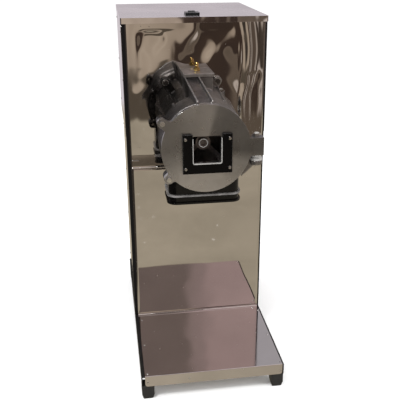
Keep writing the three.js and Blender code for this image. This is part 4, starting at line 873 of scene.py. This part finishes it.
def buildFasteners():
    r, b = rivets, mountBolt
    addRivets("shelfRivets", r["wide"], [(at(x, y, shelf["top"]), upward) for x, y in r["shelf"]])
    addRivets("fasciaRivets", r["wide"], [(at(x, shelf["front"], z), forward) for x, z in r["fascia"]])
    for side, word in enumerate(("left", "right")):
        for sheet, label, depths, heights in r["sides"]:
            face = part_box(word + sheet)[side].x / mm
            places = [(at(face, y, z), across * (2 * side - 1)) for y in depths for z in heights]
            addRivets(word + label, r["narrow"], places)
    rear = (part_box("base_rail_rear")[1].y - sheetFace) / mm + r["narrow"][1]
    places = [(at(x, rear, z), -forward) for x in r["rearSides"] for z in r["rearHeights"]]
    addRivets("rearRivets", r["narrow"], places)
    bolts = []
    for turn in map(math.radians, b["angles"]):
        x, z = mill["x"] + b["circle"] * math.cos(turn), mill["z"] + b["circle"] * math.sin(turn)
        bolts.append((at(x, b["y"], z), forward))
    washer = spun([(b["bore"], 0), (b["washer"], 0), (b["washer"], b["thick"]), (b["bore"], b["thick"]),
                   (b["bore"], 0)], 24)
    fasteners("mountWashers", "cabinet", zincSteel, washer, bolts)
    heads = [(place + forward * b["thick"] * mm, direction) for place, direction in bolts]
    fasteners("mountBolts", "cabinet", blackSteel, hexHead(b["width"], b["height"]), heads)
    print("fasteners made")


carried = {
    "chamber_plate": framePaint, "sieve_screen": machinedSteel, "door_gasket": rubberMat,
    "beater_rotor": wornSteel, "mill_shaft": machinedSteel, "bearing_front": machinedSteel,
    "bearing_rear": machinedSteel, "bearing_sleeve": machinedSteel, "driven_pulley": castIron,
    "drive_pulley": castIron, "drive_belt": beltRubber, "motor_plate": framePaint,
    "motor_body": motorEnamel, "motor_front_shield": motorEnamel, "motor_rear_shield": motorEnamel,
    "fan_cover": motorEnamel, "terminal_box": blackPlastic, "motor_fan": blackPlastic,
    "motor_shaft": machinedSteel,
}


def dressCarriedNodes():
    for node, material in carried.items():
        mesh = nodes[node].data
        mesh.materials.clear()
        mesh.materials.append(material)


view = {
    "place": (-0.2553, -1.94805, 1.2209), "tilt": 90 - 22.46, "roll": 0.06, "turn": -8.79,
    "lens": 59.48, "shift": (-0.02175, 0.03325),
}


def buildCamera():
    bpy.context.scene.view_settings.view_transform = "Standard"
    data = bpy.data.cameras.new("camera")
    data.sensor_width = 36
    data.lens = view["lens"]
    data.shift_x, data.shift_y = view["shift"]
    camera = bpy.data.objects.new("camera", data)
    camera.location = view["place"]
    camera.rotation_euler = [math.radians(view[key]) for key in ("tilt", "roll", "turn")]
    bpy.context.scene.collection.objects.link(camera)
    bpy.context.scene.camera = camera


room = {
    "pale": (0.93, 0.93, 0.93), "floor": (0.50, 0.44, 0.345), "floorDark": (0.41, 0.36, 0.28),
    "chips": (0.95, 0.9, 0.84), "reach": 3.0,
    "low": [(0.0, (0.05, 0.04, 0.035)), (0.16, (0.06, 0.05, 0.04)), (0.2, (0.46, 0.37, 0.29)),
            (0.30, (0.52, 0.43, 0.34)), (0.42, (0.40, 0.32, 0.25)), (0.46, (0.06, 0.04, 0.03)),
            (0.56, (0.05, 0.034, 0.027)), (0.575, (0.17, 0.13, 0.1)), (0.64, (0.13, 0.1, 0.075)),
            (0.66, (0.62, 0.54, 0.48)), (0.69, (0.55, 0.47, 0.42)), (0.72, (0.06, 0.045, 0.035)),
            (0.80, (0.09, 0.07, 0.055)), (0.86, (0.55, 0.47, 0.41)), (1.0, (0.12, 0.09, 0.07))],
    "high": [(0.0, (0.27, 0.215, 0.20)), (0.44, (0.25, 0.2, 0.185)), (0.46, (0.42, 0.33, 0.32)),
             (0.49, (0.44, 0.34, 0.335)), (0.51, (0.60, 0.455, 0.45)), (1.0, (0.56, 0.43, 0.43))],
    "far": (0.13, 0.1, 0.075), "shade": (0.11, 0.088, 0.066), "left": (0.05, 0.042, 0.038),
    "leftFloor": (0.05, 0.042, 0.035), "ceiling": (0.85, 0.78, 0.76), "backLow": (0.62, 0.57, 0.6),
    "backHigh": (0.44, 0.42, 0.44),
}


# The floor's tone as polished sheet mirrors it: warm, with chips, and darker far off and at the left
def mirroredFloor(tree, vector):
    chips = use(tree, specks, vector, Scale=17, Size=0.1)
    tone = use(tree, patches, vector, Scale=2.2)
    warm = blendColours(tree, tone, room["floor"], room["floorDark"])
    sides = separated(tree, vector)
    zones = [((0.2, 0.36), (-2.0, -2.2), room["far"]), ((0.22, 0.14), (-2.8, -2.95), room["shade"])]
    for sideways, away, colour in zones:
        mask = calculated(tree, "MULTIPLY", remapped(tree, sides["X"], *sideways, True),
                          remapped(tree, sides["Y"], *away, True))
        warm = blendColours(tree, mask, warm, colour)
    shaded = blendColours(tree, remapped(tree, sides["X"], -0.35, -0.6, True), warm, room["leftFloor"])
    return blendColours(tree, chips, shaded, room["chips"])


# The floor looks plain and pale; for mirrored rays it glows with a painted, warmer tone of a workshop floor.
def buildFloor():
    bm = bmesh.new()
    bmesh.ops.create_grid(bm, x_segments=1, y_segments=1, size=20)
    mesh = bpy.data.meshes.new("floor")
    bm.to_mesh(mesh)
    bm.free()
    floor = bpy.data.objects.new("floor", mesh)
    bpy.context.scene.collection.objects.link(floor)
    material, tree, _, vector = newMaterial("paleFloor", room["pale"], 0, 0.9, Specular_IOR_Level=0.1)
    glow = addNode(tree, "ShaderNodeEmission", {"Color": mirroredFloor(tree, vector)})
    distance = addNode(tree, "ShaderNodeVectorMath", {0: vector}, operation="LENGTH").outputs["Value"]
    ended = remapped(tree, distance, room["reach"], room["reach"] + 0.5)
    clear = addNode(tree, "ShaderNodeBsdfTransparent").outputs[0]
    beyond = addNode(tree, "ShaderNodeMixShader", {0: ended, 1: glow.outputs[0], 2: clear})
    mirrored = addNode(tree, "ShaderNodeLightPath").outputs["Is Glossy Ray"]
    plain = tree.nodes["Principled BSDF"].outputs[0]
    choice = addNode(tree, "ShaderNodeMixShader", {0: mirrored, 1: plain, 2: beyond.outputs[0]})
    wire(tree, choice.outputs[0], tree.nodes["Material Output"].inputs["Surface"])
    mesh.materials.append(material)


# White studio surroundings; polished metal mirrors a warm room with darker and lighter walls.
def buildWorld():
    world = bpy.data.worlds.new("studio")
    bpy.context.scene.world = world
    world.use_nodes = True
    tree = world.node_tree
    tree.nodes.clear()
    parts = separated(tree, addNode(tree, "ShaderNodeTexCoord").outputs["Generated"])
    far = calculated(tree, "MAXIMUM", calculated(tree, "ABSOLUTE", parts["Y"]), 0.04)
    sideways = calculated(tree, "DIVIDE", parts["X"], far)
    rise = calculated(tree, "DIVIDE", parts["Z"], far)
    place = remapped(tree, sideways, -0.15, 0.45)
    zone = calculated(tree, "MULTIPLY", remapped(tree, rise, -0.175, -0.19, True),
                      remapped(tree, rise, -0.27, -0.25, True))
    shade = calculated(tree, "MULTIPLY", zone, remapped(tree, sideways, 0.11, 0.09, True))
    low = blendColours(tree, shade, addRamp(tree, place, room["low"]), room["shade"])
    high = addRamp(tree, place, room["high"])
    walls = blendColours(tree, remapped(tree, rise, 0.28, 0.42, True), low, high)
    roof = blendColours(tree, remapped(tree, parts["Z"], 0.72, 0.85, True), walls, room["ceiling"])
    back = blendColours(tree, remapped(tree, parts["Z"], 0.15, 0.4, True), room["backLow"], room["backHigh"])
    ahead = blendColours(tree, remapped(tree, parts["X"], -0.2, -0.45, True), roof, room["left"])
    seen = blendColours(tree, remapped(tree, parts["Y"], -0.05, 0.2), ahead, back)
    mirrored = addNode(tree, "ShaderNodeLightPath").outputs["Is Glossy Ray"]
    final = blendColours(tree, mirrored, (1.15, 1.15, 1.15), seen)
    background = addNode(tree, "ShaderNodeBackground", {"Color": final, "Strength": 1})
    output = addNode(tree, "ShaderNodeOutputWorld")
    wire(tree, background.outputs[0], output.inputs["Surface"])


studioLights = {
    "key": {"place": (-1.3, -1.6, 3.0), "aim": (0, -0.1, 0.7), "size": 0.7, "power": 60},
    "fill": {"place": (2.2, -1.6, 1.8), "aim": (0, 0, 0.5), "size": 1.8, "power": 22},
    "top": {"place": (0.2, 0.2, 3.0), "aim": (0, 0, 0), "size": 2.2, "power": 25},
}


def buildLights():
    for name, light in studioLights.items():
        data = bpy.data.lights.new(name, "AREA")
        data.size = light["size"]
        data.energy = light["power"]
        lamp = bpy.data.objects.new(name, data)
        lamp.location = light["place"]
        aim = Vector(light["aim"]) - Vector(light["place"])
        lamp.rotation_euler = aim.to_track_quat("-Z", "Y").to_euler()
        lamp.visible_glossy = name == "key"
        bpy.context.scene.collection.objects.link(lamp)


buildCamera()
buildFloor()
buildWorld()
buildLights()
print("room and camera made")
buildSheets()
buildFrame()
buildChamber()
buildSwitch()
buildFasteners()
dressCarriedNodes()
print("scene made")
